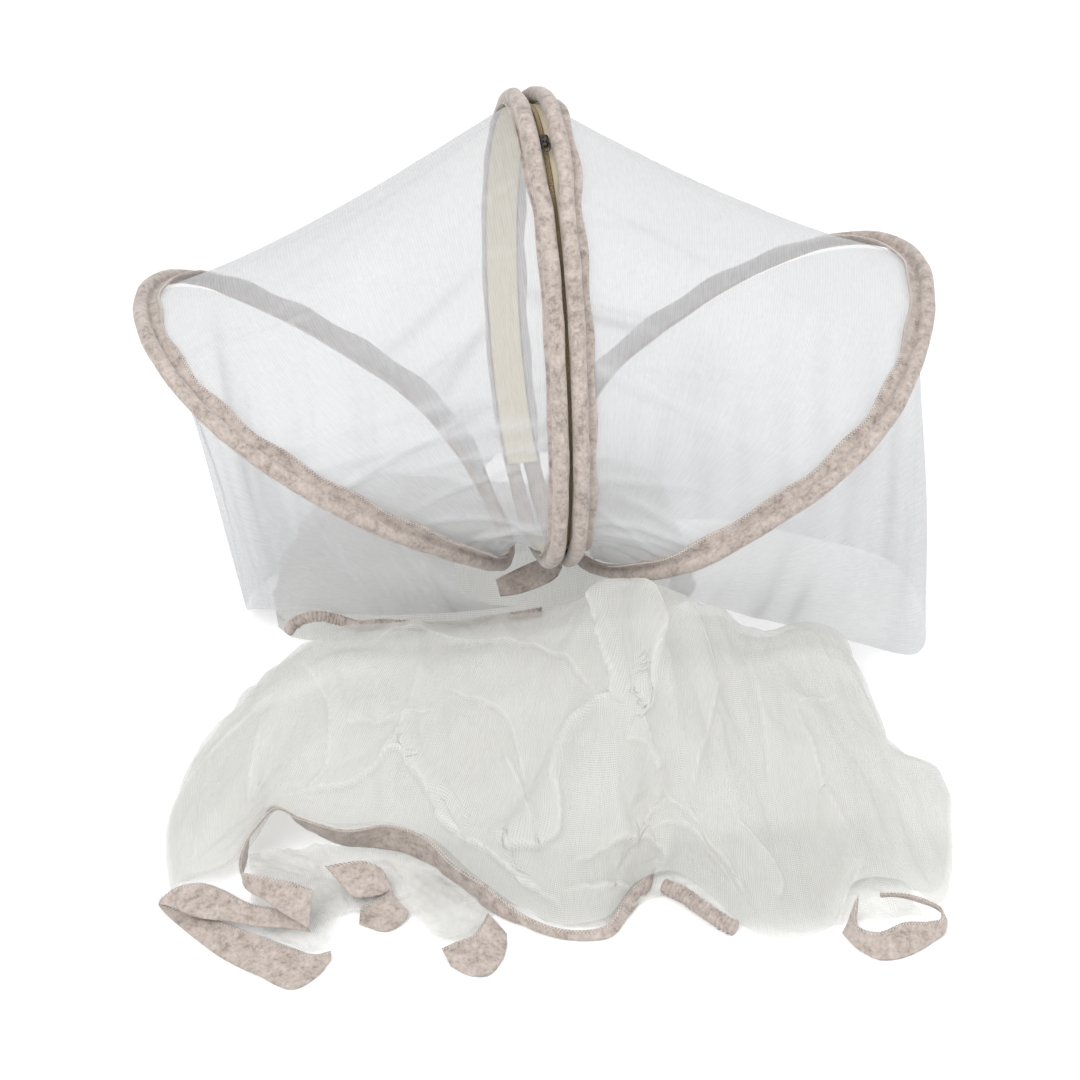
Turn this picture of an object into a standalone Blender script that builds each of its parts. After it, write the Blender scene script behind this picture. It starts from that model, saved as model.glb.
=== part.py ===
# Folding canopy mosquito net for a cot, standing half open on a flat surface.
# Three sprung hoops fan out from one foot, fine net spans them, and the long skirt is heaped in front.
# Tables are in millimetres: +X right across the fan, +Y to the back, +Z up from the surface.
import math

import bpy
import numpy as np

# Driving sizes, mm
netThickness = 1.4
bindingThickness = 1.8
footPoint = (-2.0, 1.0, 130.0)
leftLean = -52.0
rightLean = 55.5
hoopSections = 52
hoopRollRadius = 7.0
zipRollRadius = 7.5
flangeWidth = 11.0
seamDrop = 1.9
skirtDrop = 1.6
tapeHalfWidth = 15.5
rollHalfGap = 9.4
rollTopSpread = 3.6
canopySag = 12.0
hemGap = 2.5
footStrip = 22.0

# Places round a hoop, as shares of its length from the foot
zipStart = 0.06
zipEnd = 0.94
sliderTurn = 0.452
canopyStart = 0.115
canopyEnd = 0.875

# Faces of the sheets, along and across each
ringPoints = 240
zipSections = 60
canopyCount = (36, 8)
skirtCount = (36, 9)
frontCount = (44, 16)
innerCount = (20, 9)

# Hoop centre lines. Columns: along from the foot, across (the near side is negative),
# and side, the bend out of the hoop's own plane.
leftHoopRows = (
    (22, 0, -20),
    (36, -52, -18),
    (62, -92, -10),
    (97, -123, -3),
    (148, -152, 0),
    (219, -176, 0),
    (293, -183, 0),
    (361, -172, 0),
    (418, -138, 0),
    (455, -81, 0),
    (468, -2, 0),
    (446, 78, 0),
    (396, 140, 0),
    (318, 172, 0),
    (218, 184, 0),
    (119, 168, -2),
    (66, 128, -9),
    (32, 62, -17),
)
rightHoopRows = (
    (22, 0, 22),
    (32, -56, 20),
    (56, -112, 10),
    (90, -158, 4),
    (142, -198, 0),
    (215, -209, 0),
    (286, -209, 0),
    (353, -183, 0),
    (410, -125, 0),
    (447, -55, 0),
    (463, 16, 0),
    (446, 91, 0),
    (400, 150, 0),
    (319, 192, 0),
    (230, 203, 0),
    (130, 190, 2),
    (72, 146, 10),
    (32, 66, 19),
)
centreHoopRows = (
    (20, 0, 0),
    (30, -72, 0),
    (56, -134, 0),
    (98, -176, 0),
    (165, -190, 0),
    (247, -180, 0),
    (328, -156, 0),
    (396, -116, 0),
    (438, -68, 0),
    (460, 0, 0),
    (442, 68, 0),
    (392, 142, 0),
    (322, 192, 0),
    (246, 214, 0),
    (165, 208, 0),
    (96, 176, 0),
    (48, 122, 0),
    (27, 62, 0),
)

# Lower edge of each side skirt. Columns: turn round the hoop from its foot, x, y, z,
# and draw, how late the cloth is drawn in on its way down.
leftSkirtRows = (
    (0.135, -30, -64, 92, 2.4),
    (0.20, -94, -62, 90, 1.3),
    (0.27, -150, -52, 87, 1.0),
    (0.33, -205, -18, 72, 0.85),
    (0.39, -255, 30, 50, 0.8),
    (0.45, -283, 58, 36, 0.68),
    (0.50, -290, 92, 14, 0.7),
    (0.58, -280, 142, 0.7, 0.9),
    (0.66, -236, 186, 0.7, 1.0),
    (0.73, -180, 200, 0.7, 1.0),
    (0.79, -124, 204, 0.7, 1.0),
)
rightSkirtRows = (
    (0.15, 76, -76, 96, 2.0),
    (0.20, 146, -76, 84, 1.4),
    (0.26, 205, -84, 64, 1.1),
    (0.31, 256, -76, 40, 1.0),
    (0.36, 318, -58, 4, 1.0),
    (0.41, 372, -86, 0.7, 1.0),
    (0.46, 408, 10, 0.7, 2.2),
    (0.53, 396, 90, 0.7, 1.8),
    (0.63, 324, 150, 0.7, 1.2),
    (0.72, 236, 202, 0.7, 1.0),
    (0.79, 150, 208, 0.7, 1.0),
)

# Front skirt, a row for each section from left to right. Columns: crest x, y, z,
# billow, how far the cloth swells below the crest, and x, y, z of the edge that the hem is sewn to.
frontSkirtRows = (
    (-300, -74, 4, 2, -394, -338, 5),
    (-286, -88, 52, 16, -374, -338, 22),
    (-262, -86, 68, 30, -352, -342, 30),
    (-232, -84, 88, 36, -334, -338, 38),
    (-204, -82, 100, 38, -318, -320, 46),
    (-178, -92, 104, 38, -299, -304, 63),
    (-150, -98, 104, 36, -273, -315, 60),
    (-118, -102, 108, 34, -236, -327, 53),
    (-84, -106, 110, 34, -196, -322, 46),
    (-52, -112, 114, 36, -160, -338, 39),
    (-22, -130, 128, 34, -124, -388, 28),
    (6, -168, 162, 26, -84, -430, 16),
    (30, -194, 196, 16, -52, -448, 11),
    (58, -204, 203, 18, -16, -446, 13),
    (86, -206, 190, 24, 20, -408, 17),
    (110, -204, 176, 26, 52, -398, 17),
    (134, -184, 154, 22, 80, -428, 12),
    (152, -166, 136, 20, 112, -484, 4),
    (176, -152, 102, 22, 146, -496, 4),
    (204, -140, 84, 24, 182, -486, 6),
    (234, -130, 84, 20, 208, -452, 26),
    (262, -128, 78, 14, 250, -458, 25),
    (286, -126, 60, 8, 274, -474, 8),
    (304, -132, 4, 2, 296, -430, 0.7),
)

# Inner heap of skirt behind the hoops' feet. Columns: x, crest y, crest z, front y, back y.
innerHeapRows = (
    (-260, 118, 3, 96, 140),
    (-246, 128, 52, 74, 160),
    (-214, 140, 98, 62, 172),
    (-166, 146, 120, 56, 176),
    (-112, 148, 126, 52, 178),
    (-60, 146, 112, 48, 176),
    (0, 144, 104, 46, 174),
    (60, 146, 112, 48, 176),
    (104, 148, 122, 52, 178),
    (144, 146, 102, 60, 174),
    (168, 138, 60, 74, 164),
    (184, 126, 3, 100, 146),
)

# Binding sewn round the hem. Columns: x, y, z of the inner edge on the net, x, y, z of the free edge.
frontBindingRows = (
    (40, -391, 17, 34, -402, 3),
    (7, -421, 15, 7, -436, 3),
    (-18, -453, 11, -16, -461, 2),
    (-52, -452, 10, -55, -457, 2),
    (-85, -433, 14, -86, -437, 3),
    (-115, -400, 25, -112, -412, 4),
    (-143, -372, 33, -138, -372, 7),
    (-161, -342, 40, -162, -342, 11),
    (-192, -326, 46, -196, -322, 15),
    (-232, -332, 50, -236, -316, 21),
    (-270, -318, 57, -272, -298, 36),
    (-294, -306, 60, -292, -276, 42),
    (-309, -318, 54, -303, -288, 38),
    (-322, -332, 47, -315, -302, 33),
    (-328, -346, 43, -320, -318, 27),
    (-329, -362, 40, -326, -342, 22),
    (-322, -374, 47, -325, -378, 31),
    (-306, -380, 46, -312, -392, 30),
    (-286, -388, 44, -297, -410, 28),
    (-268, -398, 41, -276, -431, 25),
)
cornerBindingRows = (
    (-280, -404, 20, -274, -421, 12),
    (-302, -394, 21, -291, -415, 13),
    (-323, -386, 23, -316, -409, 14),
    (-346, -366, 26, -344, -398, 15),
    (-367, -352, 25, -374, -384, 13),
    (-392, -350, 17, -396, -362, 11),
    (-402, -352, 9, -403, -356, 6.5),
    (-392, -358, 5.5, -397, -364, 1.5),
    (-372, -370, 8, -378, -394, 1.5),
    (-341, -396, 9, -352, -430, 1.5),
    (-313, -417, 9, -324, -457, 1.5),
    (-290, -434, 8, -294, -480, 1.5),
    (-272, -444, 7, -270, -464, 1.5),
    (-258, -440, 6, -260, -450, 1.5),
)
innerBindingRows = (
    (-254, -351, 27, -232, -384, 13),
    (-236, -350, 28, -220, -384, 13),
    (-218, -350, 27, -204, -380, 12),
    (-204, -356, 21, -197, -374, 10),
    (-201, -362, 13, -198, -382, 7),
    (-205, -376, 9, -186, -404, 5),
    (-214, -382, 7, -206, -420, 2),
    (-226, -386, 6, -230, -406, 2),
)

# Net that shows inside the hem's folds. Columns: x, y, z at the binding, x, y, z back in the heap.
foldNetRows = (
    (-321, -369, 50, -308, -336, 40),
    (-305, -374, 49, -288, -332, 34),
    (-287, -381, 47, -268, -336, 31),
    (-269, -390, 44, -262, -350, 34),
)
cornerNetRows = (
    (-318, -410, 7, -292, -374, 7),
    (-300, -423, 7, -270, -364, 9),
    (-287, -432, 6, -256, -360, 10),
    (-273, -440, 5, -246, -366, 10),
    (-260, -436, 5, -238, -384, 9),
)
tabNetRows = (
    (-190, -350, 20, -165, -452, 10),
    (-176, -356, 16, -150, -447, 11),
    (-164, -360, 13, -137, -442, 11),
    (-152, -366, 10, -119, -413, 11),
)
tabBindingRows = (
    (-164, -456, 8, -158, -474, 1.5),
    (-150, -451, 9, -146, -487, 1.5),
    (-136, -446, 9, -130, -492, 1.5),
    (-125, -432, 9, -113, -474, 1.5),
    (-118, -418, 9, -103, -440, 1.5),
)
rightBindingRows = (
    (207, -466, 23, 187, -490, 1.5),
    (200, -494, 12, 196, -514, 1.5),
    (214, -506, 14, 208, -528, 1.5),
    (238, -500, 16, 230, -530, 1.5),
    (262, -500, 14, 260, -516, 1.5),
    (274, -496, 13, 277, -504, 3),
    (276, -488, 16, 281, -492, 6),
    (266, -480, 20, 270, -478, 10),
    (248, -472, 23, 250, -468, 14),
    (226, -468, 24, 228, -464, 16),
)

# Soft folds of the front skirt in plan. Columns: start x, start y, end x, end y, height, half width.
frontFoldRows = (
    (58, -215, 78, -330, 26, 20),
    (20, -210, -60, -330, -14, 26),
    (120, -215, 150, -380, -12, 20),
    (-60, -150, -130, -300, 12, 30),
    (-150, -120, -240, -260, 10, 30),
    (190, -160, 230, -400, 10, 26),
    (0, -330, -110, -380, 14, 22),
    (-250, -130, -320, -260, 8, 24),
)

# Folds of the side skirts. Columns: turn, half width as a turn, height.
leftSkirtFolds = (
    (0.22, 0.02, 7),
    (0.31, 0.02, -6),
    (0.40, 0.018, 8),
    (0.47, 0.02, -6),
    (0.62, 0.03, 8),
)
rightSkirtFolds = (
    (0.22, 0.02, -6),
    (0.30, 0.02, 7),
    (0.37, 0.016, -8),
    (0.43, 0.014, 9),
    (0.60, 0.03, 8),
)

# Ruched elastic hems, the centre line of the gathered casing. Columns: x, y, z.
frontElasticRows = (
    (44, -408, 8),
    (56, -420, 8),
    (68, -438, 8),
    (80, -458, 8),
    (94, -474, 7),
)
backElasticRows = (
    (-254, -2, 46),
    (-246, -14, 64),
    (-226, -22, 74),
    (-206, -26, 70),
    (-186, -44, 72),
    (-168, -56, 80),
    (-140, -66, 82),
    (-104, -72, 80),
    (-66, -72, 82),
    (-38, -72, 84),
    (-8, -74, 88),
)


def unit(vectors):
    return vectors / np.linalg.norm(vectors, axis=-1, keepdims=True)


def through(rows, count, closed=False, start=0.0, end=1.0):
    """Evenly spaced points on a smooth curve through the rows, from start to end as shares of its length."""
    knots = np.array(rows, float)
    if closed:
        knots = np.vstack([knots, knots[:1]])
    steps = np.linalg.norm(np.diff(knots, axis=0), axis=1)
    at = np.concatenate([[0.0], np.cumsum(steps)])
    slopes = np.diff(knots, axis=0) / steps[:, None]
    tangents = np.empty_like(knots)
    weight = (steps[1:] / (steps[1:] + steps[:-1]))[:, None]
    tangents[1:-1] = slopes[:-1] * weight + slopes[1:] * (1 - weight)
    if closed:
        ends = steps[0] / (steps[0] + steps[-1])
        tangents[0] = slopes[-1] * ends + slopes[0] * (1 - ends)
        tangents[-1] = tangents[0]
    else:
        tangents[0] = slopes[0]
        tangents[-1] = slopes[-1]
    share = np.linspace(start, end, count, endpoint=not closed)
    place = share * at[-1]
    which = np.clip(np.searchsorted(at, place, side="right") - 1, 0, len(steps) - 1)
    span = steps[which]
    t = ((place - at[which]) / span)[:, None]
    span = span[:, None]
    return (
        (2 * t**3 - 3 * t**2 + 1) * knots[which]
        + (t**3 - 2 * t**2 + t) * span * tangents[which]
        + (3 * t**2 - 2 * t**3) * knots[which + 1]
        + (t**3 - t**2) * span * tangents[which + 1]
    )


def atTurn(ring, turn):
    """Points of a closed ring at the given shares of its length."""
    place = np.asarray(turn) * len(ring)
    low = np.floor(place).astype(int)
    part = (place - low)[:, None]
    return ring[low % len(ring)] * (1 - part) + ring[(low + 1) % len(ring)] * part


def makeMaterial(name, color, roughness, metallic=0.0):
    material = bpy.data.materials.new(name)
    material.use_nodes = True
    shader = material.node_tree.nodes["Principled BSDF"]
    shader.inputs["Base Color"].default_value = (*color, 1.0)
    shader.inputs["Roughness"].default_value = roughness
    shader.inputs["Metallic"].default_value = metallic
    return material


def makeNode(name, points, faces, material):
    """One closed body from points in millimetres, its faces turned outward."""
    corners = np.array(points, float)
    volume = 0.0
    for face in faces:
        for i in range(1, len(face) - 1):
            volume += np.dot(corners[face[0]], np.cross(corners[face[i]], corners[face[i + 1]]))
    if volume < 0:
        faces = [face[::-1] for face in faces]
    mesh = bpy.data.meshes.new(name)
    mesh.from_pydata([tuple(p / 1000) for p in corners], [], faces)
    mesh.materials.append(material)
    mesh.shade_smooth()
    node = bpy.data.objects.new(name, mesh)
    bpy.context.scene.collection.objects.link(node)
    return node


def gridNormals(grid):
    down = np.gradient(grid, axis=0)
    along = np.gradient(grid, axis=1)
    return unit(np.cross(down, along))


def sheetNode(name, grid, thickness, material):
    """A cloth sheet: the grid given a thickness, its rim closed, and nothing of it under the surface."""
    half = gridNormals(grid) * thickness / 2
    front = grid + half
    back = grid - half
    # Where the cloth lies on the surface its lower face is flat at zero.
    lower = np.minimum(front[..., 2], back[..., 2])
    lift = np.maximum(0.0, -lower)
    front[..., 2] += lift
    back[..., 2] += lift
    rows, columns = grid.shape[:2]
    points = np.concatenate([front.reshape(-1, 3), back.reshape(-1, 3)])
    other = rows * columns
    faces = []
    for i in range(rows - 1):
        for j in range(columns - 1):
            a = i * columns + j
            b = a + 1
            c = a + columns + 1
            d = a + columns
            faces.append((a, b, c, d))
            faces.append((other + d, other + c, other + b, other + a))
    rim = list(range(columns))
    rim += [i * columns + columns - 1 for i in range(1, rows)]
    rim += [(rows - 1) * columns + j for j in range(columns - 2, -1, -1)]
    rim += [i * columns for i in range(rows - 2, 0, -1)]
    for k in range(len(rim)):
        a = rim[k]
        b = rim[(k + 1) % len(rim)]
        faces.append((b, a, other + a, other + b))
    return makeNode(name, points, faces, material)


def sweepNode(name, sections, material, closed):
    """A body through a row of sections with the same number of points, as a ring or with capped ends."""
    count, sides = sections.shape[:2]
    points = sections.reshape(-1, 3)
    faces = []
    for i in range(count if closed else count - 1):
        for j in range(sides):
            a = i * sides + j
            b = i * sides + (j + 1) % sides
            c = (i + 1) % count * sides + (j + 1) % sides
            d = (i + 1) % count * sides + j
            faces.append((a, b, c, d))
    if not closed:
        faces.append(tuple(range(sides - 1, -1, -1)))
        faces.append(tuple((count - 1) * sides + j for j in range(sides)))
    return makeNode(name, points, faces, material)


def hoopRing(rows, lean):
    """The hoop's centre line as points in space."""
    angle = math.radians(lean)
    alongWay = np.array((math.sin(angle), 0.0, math.cos(angle)))
    sideWay = np.array((math.cos(angle), 0.0, -math.sin(angle)))
    acrossWay = np.array((0.0, 1.0, 0.0))
    flat = through(rows, ringPoints, closed=True)
    ring = np.array(footPoint) + flat[:, :1] * alongWay + flat[:, 1:2] * acrossWay
    return ring + flat[:, 2:3] * sideWay


def ringFrames(ring, turn, toward):
    """At each turn: the place, the way along the hoop, the way toward its net, and the way out."""
    place = atTurn(ring, turn)
    step = 0.006
    along = unit(atTurn(ring, turn + step) - atTurn(ring, turn - step))
    net = toward - (toward * along).sum(axis=1, keepdims=True) * along
    net = unit(net)
    out = np.cross(along, net)
    centre = ring.mean(axis=0)
    flip = np.sign(((place - centre) * out).sum(axis=1, keepdims=True))
    return place, along, net, out * flip


def sleeveProfile(radius, flange):
    """Section of a sleeve: x toward the net, y outward. A round roll with the flat seam beside it."""
    points = [(radius + flange, -radius + 0.9), (radius * 0.3, -radius * 0.98)]
    for angle in (-112, -152, 168, 128, 88, 48, 8):
        turn = math.radians(angle)
        points.append((radius * math.cos(turn), radius * math.sin(turn)))
    points.append((radius * 0.86, -radius * 0.5))
    points.append((radius + flange, -radius + 2.9))
    return np.array(points)


def sleeveSections(place, net, out, turn, radius, flange, plump):
    sections = []
    for k in range(len(turn)):
        swing = 2 * math.pi * turn[k]
        wave = 1 + plump * math.sin(9 * swing + 1) + plump * math.sin(23 * swing)
        # The seam tucks away at the foot, where the hoops come together.
        nearFoot = min(turn[k], 1 - turn[k])
        open_ = min(1.0, max(0.08, (nearFoot - 0.05) / 0.07))
        width = flange * open_ * (1 + 0.14 * math.sin(17 * swing))
        profile = sleeveProfile(radius, width)
        roll = profile * np.array((wave, wave))
        sections.append(place[k] + roll[:, :1] * net[k] + roll[:, 1:] * out[k])
    return np.array(sections)


def rollSpread(turn):
    """Half the distance between the two zip rolls: wider over the top, where the slider sits."""
    top = np.clip((0.075 - np.abs(turn - 0.47)) / 0.03, 0.0, 1.0)
    return rollHalfGap + rollTopSpread * top * top * (3 - 2 * top)


def centreFrames(ring, turn):
    side = np.tile(np.array((1.0, 0.0, 0.0)), (len(turn), 1))
    return ringFrames(ring, turn, side)


def buildHoops(leftRing, rightRing, centreRing, materials):
    turn = np.arange(hoopSections) / hoopSections
    for name, ring in (("left_hoop_sleeve", leftRing), ("right_hoop_sleeve", rightRing)):
        toward = atTurn(centreRing, turn) - atTurn(ring, turn)
        place, _, net, out = ringFrames(ring, turn, toward)
        sections = sleeveSections(place, net, out, turn, hoopRollRadius, flangeWidth, 0.03)
        sweepNode(name, sections, materials["binding"], closed=True)
    place, _, side, out = centreFrames(centreRing, turn)
    spread = rollSpread(turn)[:, None]
    for name, way, flange in (("zip_sleeve_left", -1, 3.0), ("zip_sleeve_right", 1, 8.0)):
        sections = sleeveSections(
            place + way * spread * side, way * side, out, turn, zipRollRadius, flange, 0.02
        )
        sweepNode(name, sections, materials["binding"], closed=True)


def buildZip(centreRing, materials):
    turn = np.linspace(zipStart, zipEnd, zipSections)
    place, _, side, out = centreFrames(centreRing, turn)
    under = -zipRollRadius - 1.0
    half = tapeHalfWidth
    # Tape across the gap, with the closed coil as a ridge along its middle.
    profile = np.array(
        (
            (-half, under - 1.1),
            (half, under - 1.1),
            (half, under),
            (2.6, under),
            (2.0, under + 1.7),
            (-2.0, under + 1.7),
            (-2.6, under),
            (-half, under),
        )
    )
    sections = place[:, None] + profile[None, :, :1] * side[:, None] + profile[None, :, 1:] * out[:, None]
    sweepNode("zip_tape", sections, materials["tape"], closed=False)
    slider = (
        (-7.0, 2.8, -4.4, -3.6),
        (-5.0, 4.2, -5.6, -1.9),
        (1.0, 4.2, -5.6, -1.7),
        (5.0, 3.2, -5.4, -2.0),
        (6.5, 2.4, -4.8, -3.2),
    )
    pull = (
        (-3.0, 2.2, -0.9, 0.7),
        (2.0, 2.6, -0.9, 0.9),
        (9.0, 2.9, -0.6, 1.0),
        (15.0, 3.0, -0.4, 1.2),
        (18.0, 1.8, -0.3, 0.9),
    )
    at = np.array((sliderTurn,))
    centre, along, across, outward = (v[0] for v in centreFrames(centreRing, at))
    for name, rows in (("zip_slider", slider), ("zip_pull", pull)):
        sections = []
        for way, halfWidth, low, high in rows:
            corners = []
            for x, y in (
                (-halfWidth, low),
                (halfWidth, low),
                (halfWidth, (low + high) / 2),
                (halfWidth * 0.7, high),
                (-halfWidth * 0.7, high),
                (-halfWidth, (low + high) / 2),
            ):
                corners.append(centre - along * way + across * x + outward * y)
            sections.append(corners)
        sweepNode(name, np.array(sections), materials["metal"], closed=False)


def canopyGrid(hoop, centreRing, way):
    """Net between a side hoop and the zip, over the front, the top and the back."""
    turnCount, spanCount = canopyCount
    turn = np.linspace(canopyStart, canopyEnd, turnCount)
    toward = atTurn(centreRing, turn) - atTurn(hoop, turn)
    place, _, net, out = ringFrames(hoop, turn, toward)
    outer = place + net * 1.0 - out * (hoopRollRadius + seamDrop)
    middle, _, side, up = centreFrames(centreRing, turn)
    inner = middle + way * (tapeHalfWidth + 1.6) * side - up * (zipRollRadius + seamDrop)
    share = np.linspace(0.0, 1.0, spanCount)[:, None, None]
    grid = outer * (1 - share) + inner * share
    inward = unit(out * (1 - share) + up * share)
    crease = 2.2 * np.sin(turn * 58 + share[..., 0] * 5)[..., None]
    return grid - inward * ((canopySag + crease) * 4 * share * (1 - share))


def skirtGrid(hoop, centreRing, rows, folds):
    """Side skirt: hangs from under its hoop to its own lower edge."""
    turnCount, dropCount = skirtCount
    table = np.array(rows, float)
    turn = np.linspace(table[0, 0], table[-1, 0], turnCount)
    toward = atTurn(centreRing, turn) - atTurn(hoop, turn)
    place, _, net, out = ringFrames(hoop, turn, toward)
    # The skirt starts under the roll, and toward the foot it moves round to the roll's lower side.
    low = np.clip((0.20 - turn) / 0.045, 0.0, 1.0)[:, None]
    top = place - net * (1.6 + 8.0 * low) - out * (hoopRollRadius + seamDrop + skirtDrop) * (1 - 0.5 * low)
    bottom = smoothAt(table, turn)
    share = np.linspace(0.0, 1.0, dropCount)[:, None]
    lean = share ** bottom[:, 3]
    grid = np.empty((dropCount, turnCount, 3))
    for k in range(3):
        amount = lean if k < 2 else share
        grid[..., k] = top[:, k] * (1 - amount) + bottom[:, k] * amount
    outward = grid - grid.mean(axis=(0, 1))
    outward[..., 2] = 0.0
    outward = unit(outward)
    depth = np.zeros((dropCount, turnCount))
    for centre, width, height in folds:
        depth += height * np.exp(-(((turn - centre) / width) ** 2))
    swell = np.sin(np.pi * np.clip(share, 0, 1)) ** 1.3
    return grid + outward * (depth * swell)[..., None]


def smoothAt(table, turn):
    """The table's places and draws at the given turns, on a smooth curve."""
    fine = through(table, 400)
    order = np.maximum.accumulate(fine[:, 0])
    return np.stack([np.interp(turn, order, fine[:, k]) for k in (1, 2, 3, 4)], axis=1)


def frontGrid():
    """Front skirt: up behind its crest, over it, and down in a billow to the hem."""
    acrossCount, fallCount = frontCount
    rows = through(frontSkirtRows, acrossCount)
    crest = rows[:, 0:3]
    billow = rows[:, 3:4]
    edge = rows[:, 4:7]
    share = np.linspace(0.0, 1.0, fallCount)
    grid = []
    # Behind the crest the cloth turns down again, out of sight.
    for back, drop in ((24, 0.50), (17, 0.22), (9, 0.06)):
        lower = crest.copy()
        lower[:, 1] += back * np.minimum(1.0, crest[:, 2] / 60)
        lower[:, 2] = np.maximum(2.0, crest[:, 2] - drop * crest[:, 2])
        grid.append(lower)
    across = np.linspace(0.0, 1.0, acrossCount)
    for t in share:
        line = crest * (1 - t) + edge * t
        swell = math.sin(math.pi * t**0.8)
        line[:, 2] += billow[:, 0] * swell
        # The left edge bows out on the surface. The right edge steps out, where a layer lies flat.
        line[:, 0] -= 34 * math.sin(math.pi * t) * np.exp(-((across / 0.1) ** 2))
        step = min(1.0, max(0.0, (t - 0.40) / 0.10)) * min(1.0, max(0.0, (1.15 - t) / 0.5))
        line[:, 0] += 40 * step * np.exp(-(((1 - across) / 0.06) ** 2))
        line[:, 2] += foldHeight(line) * math.sin(math.pi * t) ** 0.7
        line[:, 2] = np.maximum(line[:, 2], netThickness / 2)
        grid.append(line)
    return np.array(grid)


def foldHeight(line):
    """How far the folds lift the points of one line across the front skirt."""
    height = np.zeros(len(line))
    for startX, startY, endX, endY, rise, halfWidth in frontFoldRows:
        way = np.array((endX - startX, endY - startY), float)
        length = np.linalg.norm(way)
        way /= length
        offset = line[:, :2] - np.array((startX, startY))
        along = np.clip(offset @ way, 0, length)
        apart = np.linalg.norm(offset - along[:, None] * way, axis=1)
        height += rise * np.exp(-((apart / halfWidth) ** 2))
    return height


def innerGrid():
    """The rest of the skirt, heaped under and behind the hoops' feet."""
    count, riseCount = innerCount
    rows = through(innerHeapRows, count)
    grid = []
    for t in np.linspace(0.0, 1.0, riseCount):
        if t < 0.55:
            part = t / 0.55
            y = rows[:, 3] * (1 - part) + rows[:, 1] * part
            z = rows[:, 2] * math.sin(part * math.pi / 2)
        else:
            part = (t - 0.55) / 0.45
            y = rows[:, 1] * (1 - part) + rows[:, 4] * part
            z = rows[:, 2] * math.cos(part * math.pi / 2)
        grid.append(np.stack([rows[:, 0], y, np.maximum(z, netThickness / 2)], axis=1))
    # A flat turned-in strip lies on the surface in front of the heap.
    strip = []
    for back in (footStrip, footStrip / 2, 0.0):
        foot = grid[0].copy()
        foot[:, 1] -= back
        foot[:, 2] = netThickness / 2
        strip.append(foot)
    return np.array(strip + grid[1:])


def bindingNode(name, rows, count, widthCount, material):
    """A strip of binding between its inner and its outer edge."""
    edges = through(rows, count)
    inner = edges[:, 0:3]
    outer = edges[:, 3:6]
    # The strip starts just past the net's edge.
    inner = inner + unit(outer - inner) * hemGap
    share = np.linspace(0.0, 1.0, widthCount)[:, None, None]
    grid = inner * (1 - share) + outer * share
    return sheetNode(name, grid, bindingThickness, material)


def pocketNode(name, rows, count, depthCount, material):
    """A small piece of the skirt between two lines, sagging a little."""
    edges = through(rows, count)
    share = np.linspace(0.0, 1.0, depthCount)[:, None, None]
    grid = edges[:, 0:3] * (1 - share) + edges[:, 3:6] * share
    grid[..., 2] -= 3.0 * np.sin(np.pi * share[..., 0])
    return sheetNode(name, grid, netThickness, material)


def elasticNode(name, rows, count, height, depth, material):
    """A casing drawn up on elastic: an oval strip whose size swells at each gather."""
    line = through(rows, count)
    along = unit(np.gradient(line, axis=0))
    up = np.tile(np.array((0.0, 0.0, 1.0)), (count, 1))
    across = unit(np.cross(along, up))
    rise = np.cross(across, along)
    sections = []
    for k in range(count):
        swell = 1 + 0.16 * (-1) ** k
        ring = []
        for side in range(6):
            turn = 2 * math.pi * (side + 0.5) / 6
            offset = across[k] * depth / 2 * math.cos(turn) + rise[k] * height / 2 * math.sin(turn)
            ring.append(line[k] + offset * swell)
        sections.append(ring)
    sections = np.array(sections)
    sections[..., 2] = np.maximum(sections[..., 2], 0.0)
    return sweepNode(name, sections, material, closed=False)


def standOnOrigin():
    """Moves the finished object so that the origin is under the middle of it, on the surface."""
    low = np.full(3, np.inf)
    high = np.full(3, -np.inf)
    for node in bpy.data.objects:
        for vertex in node.data.vertices:
            low = np.minimum(low, vertex.co)
            high = np.maximum(high, vertex.co)
    middle = (low + high) / 2
    for node in bpy.data.objects:
        node.location = (-middle[0], -middle[1], -low[2])


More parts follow.
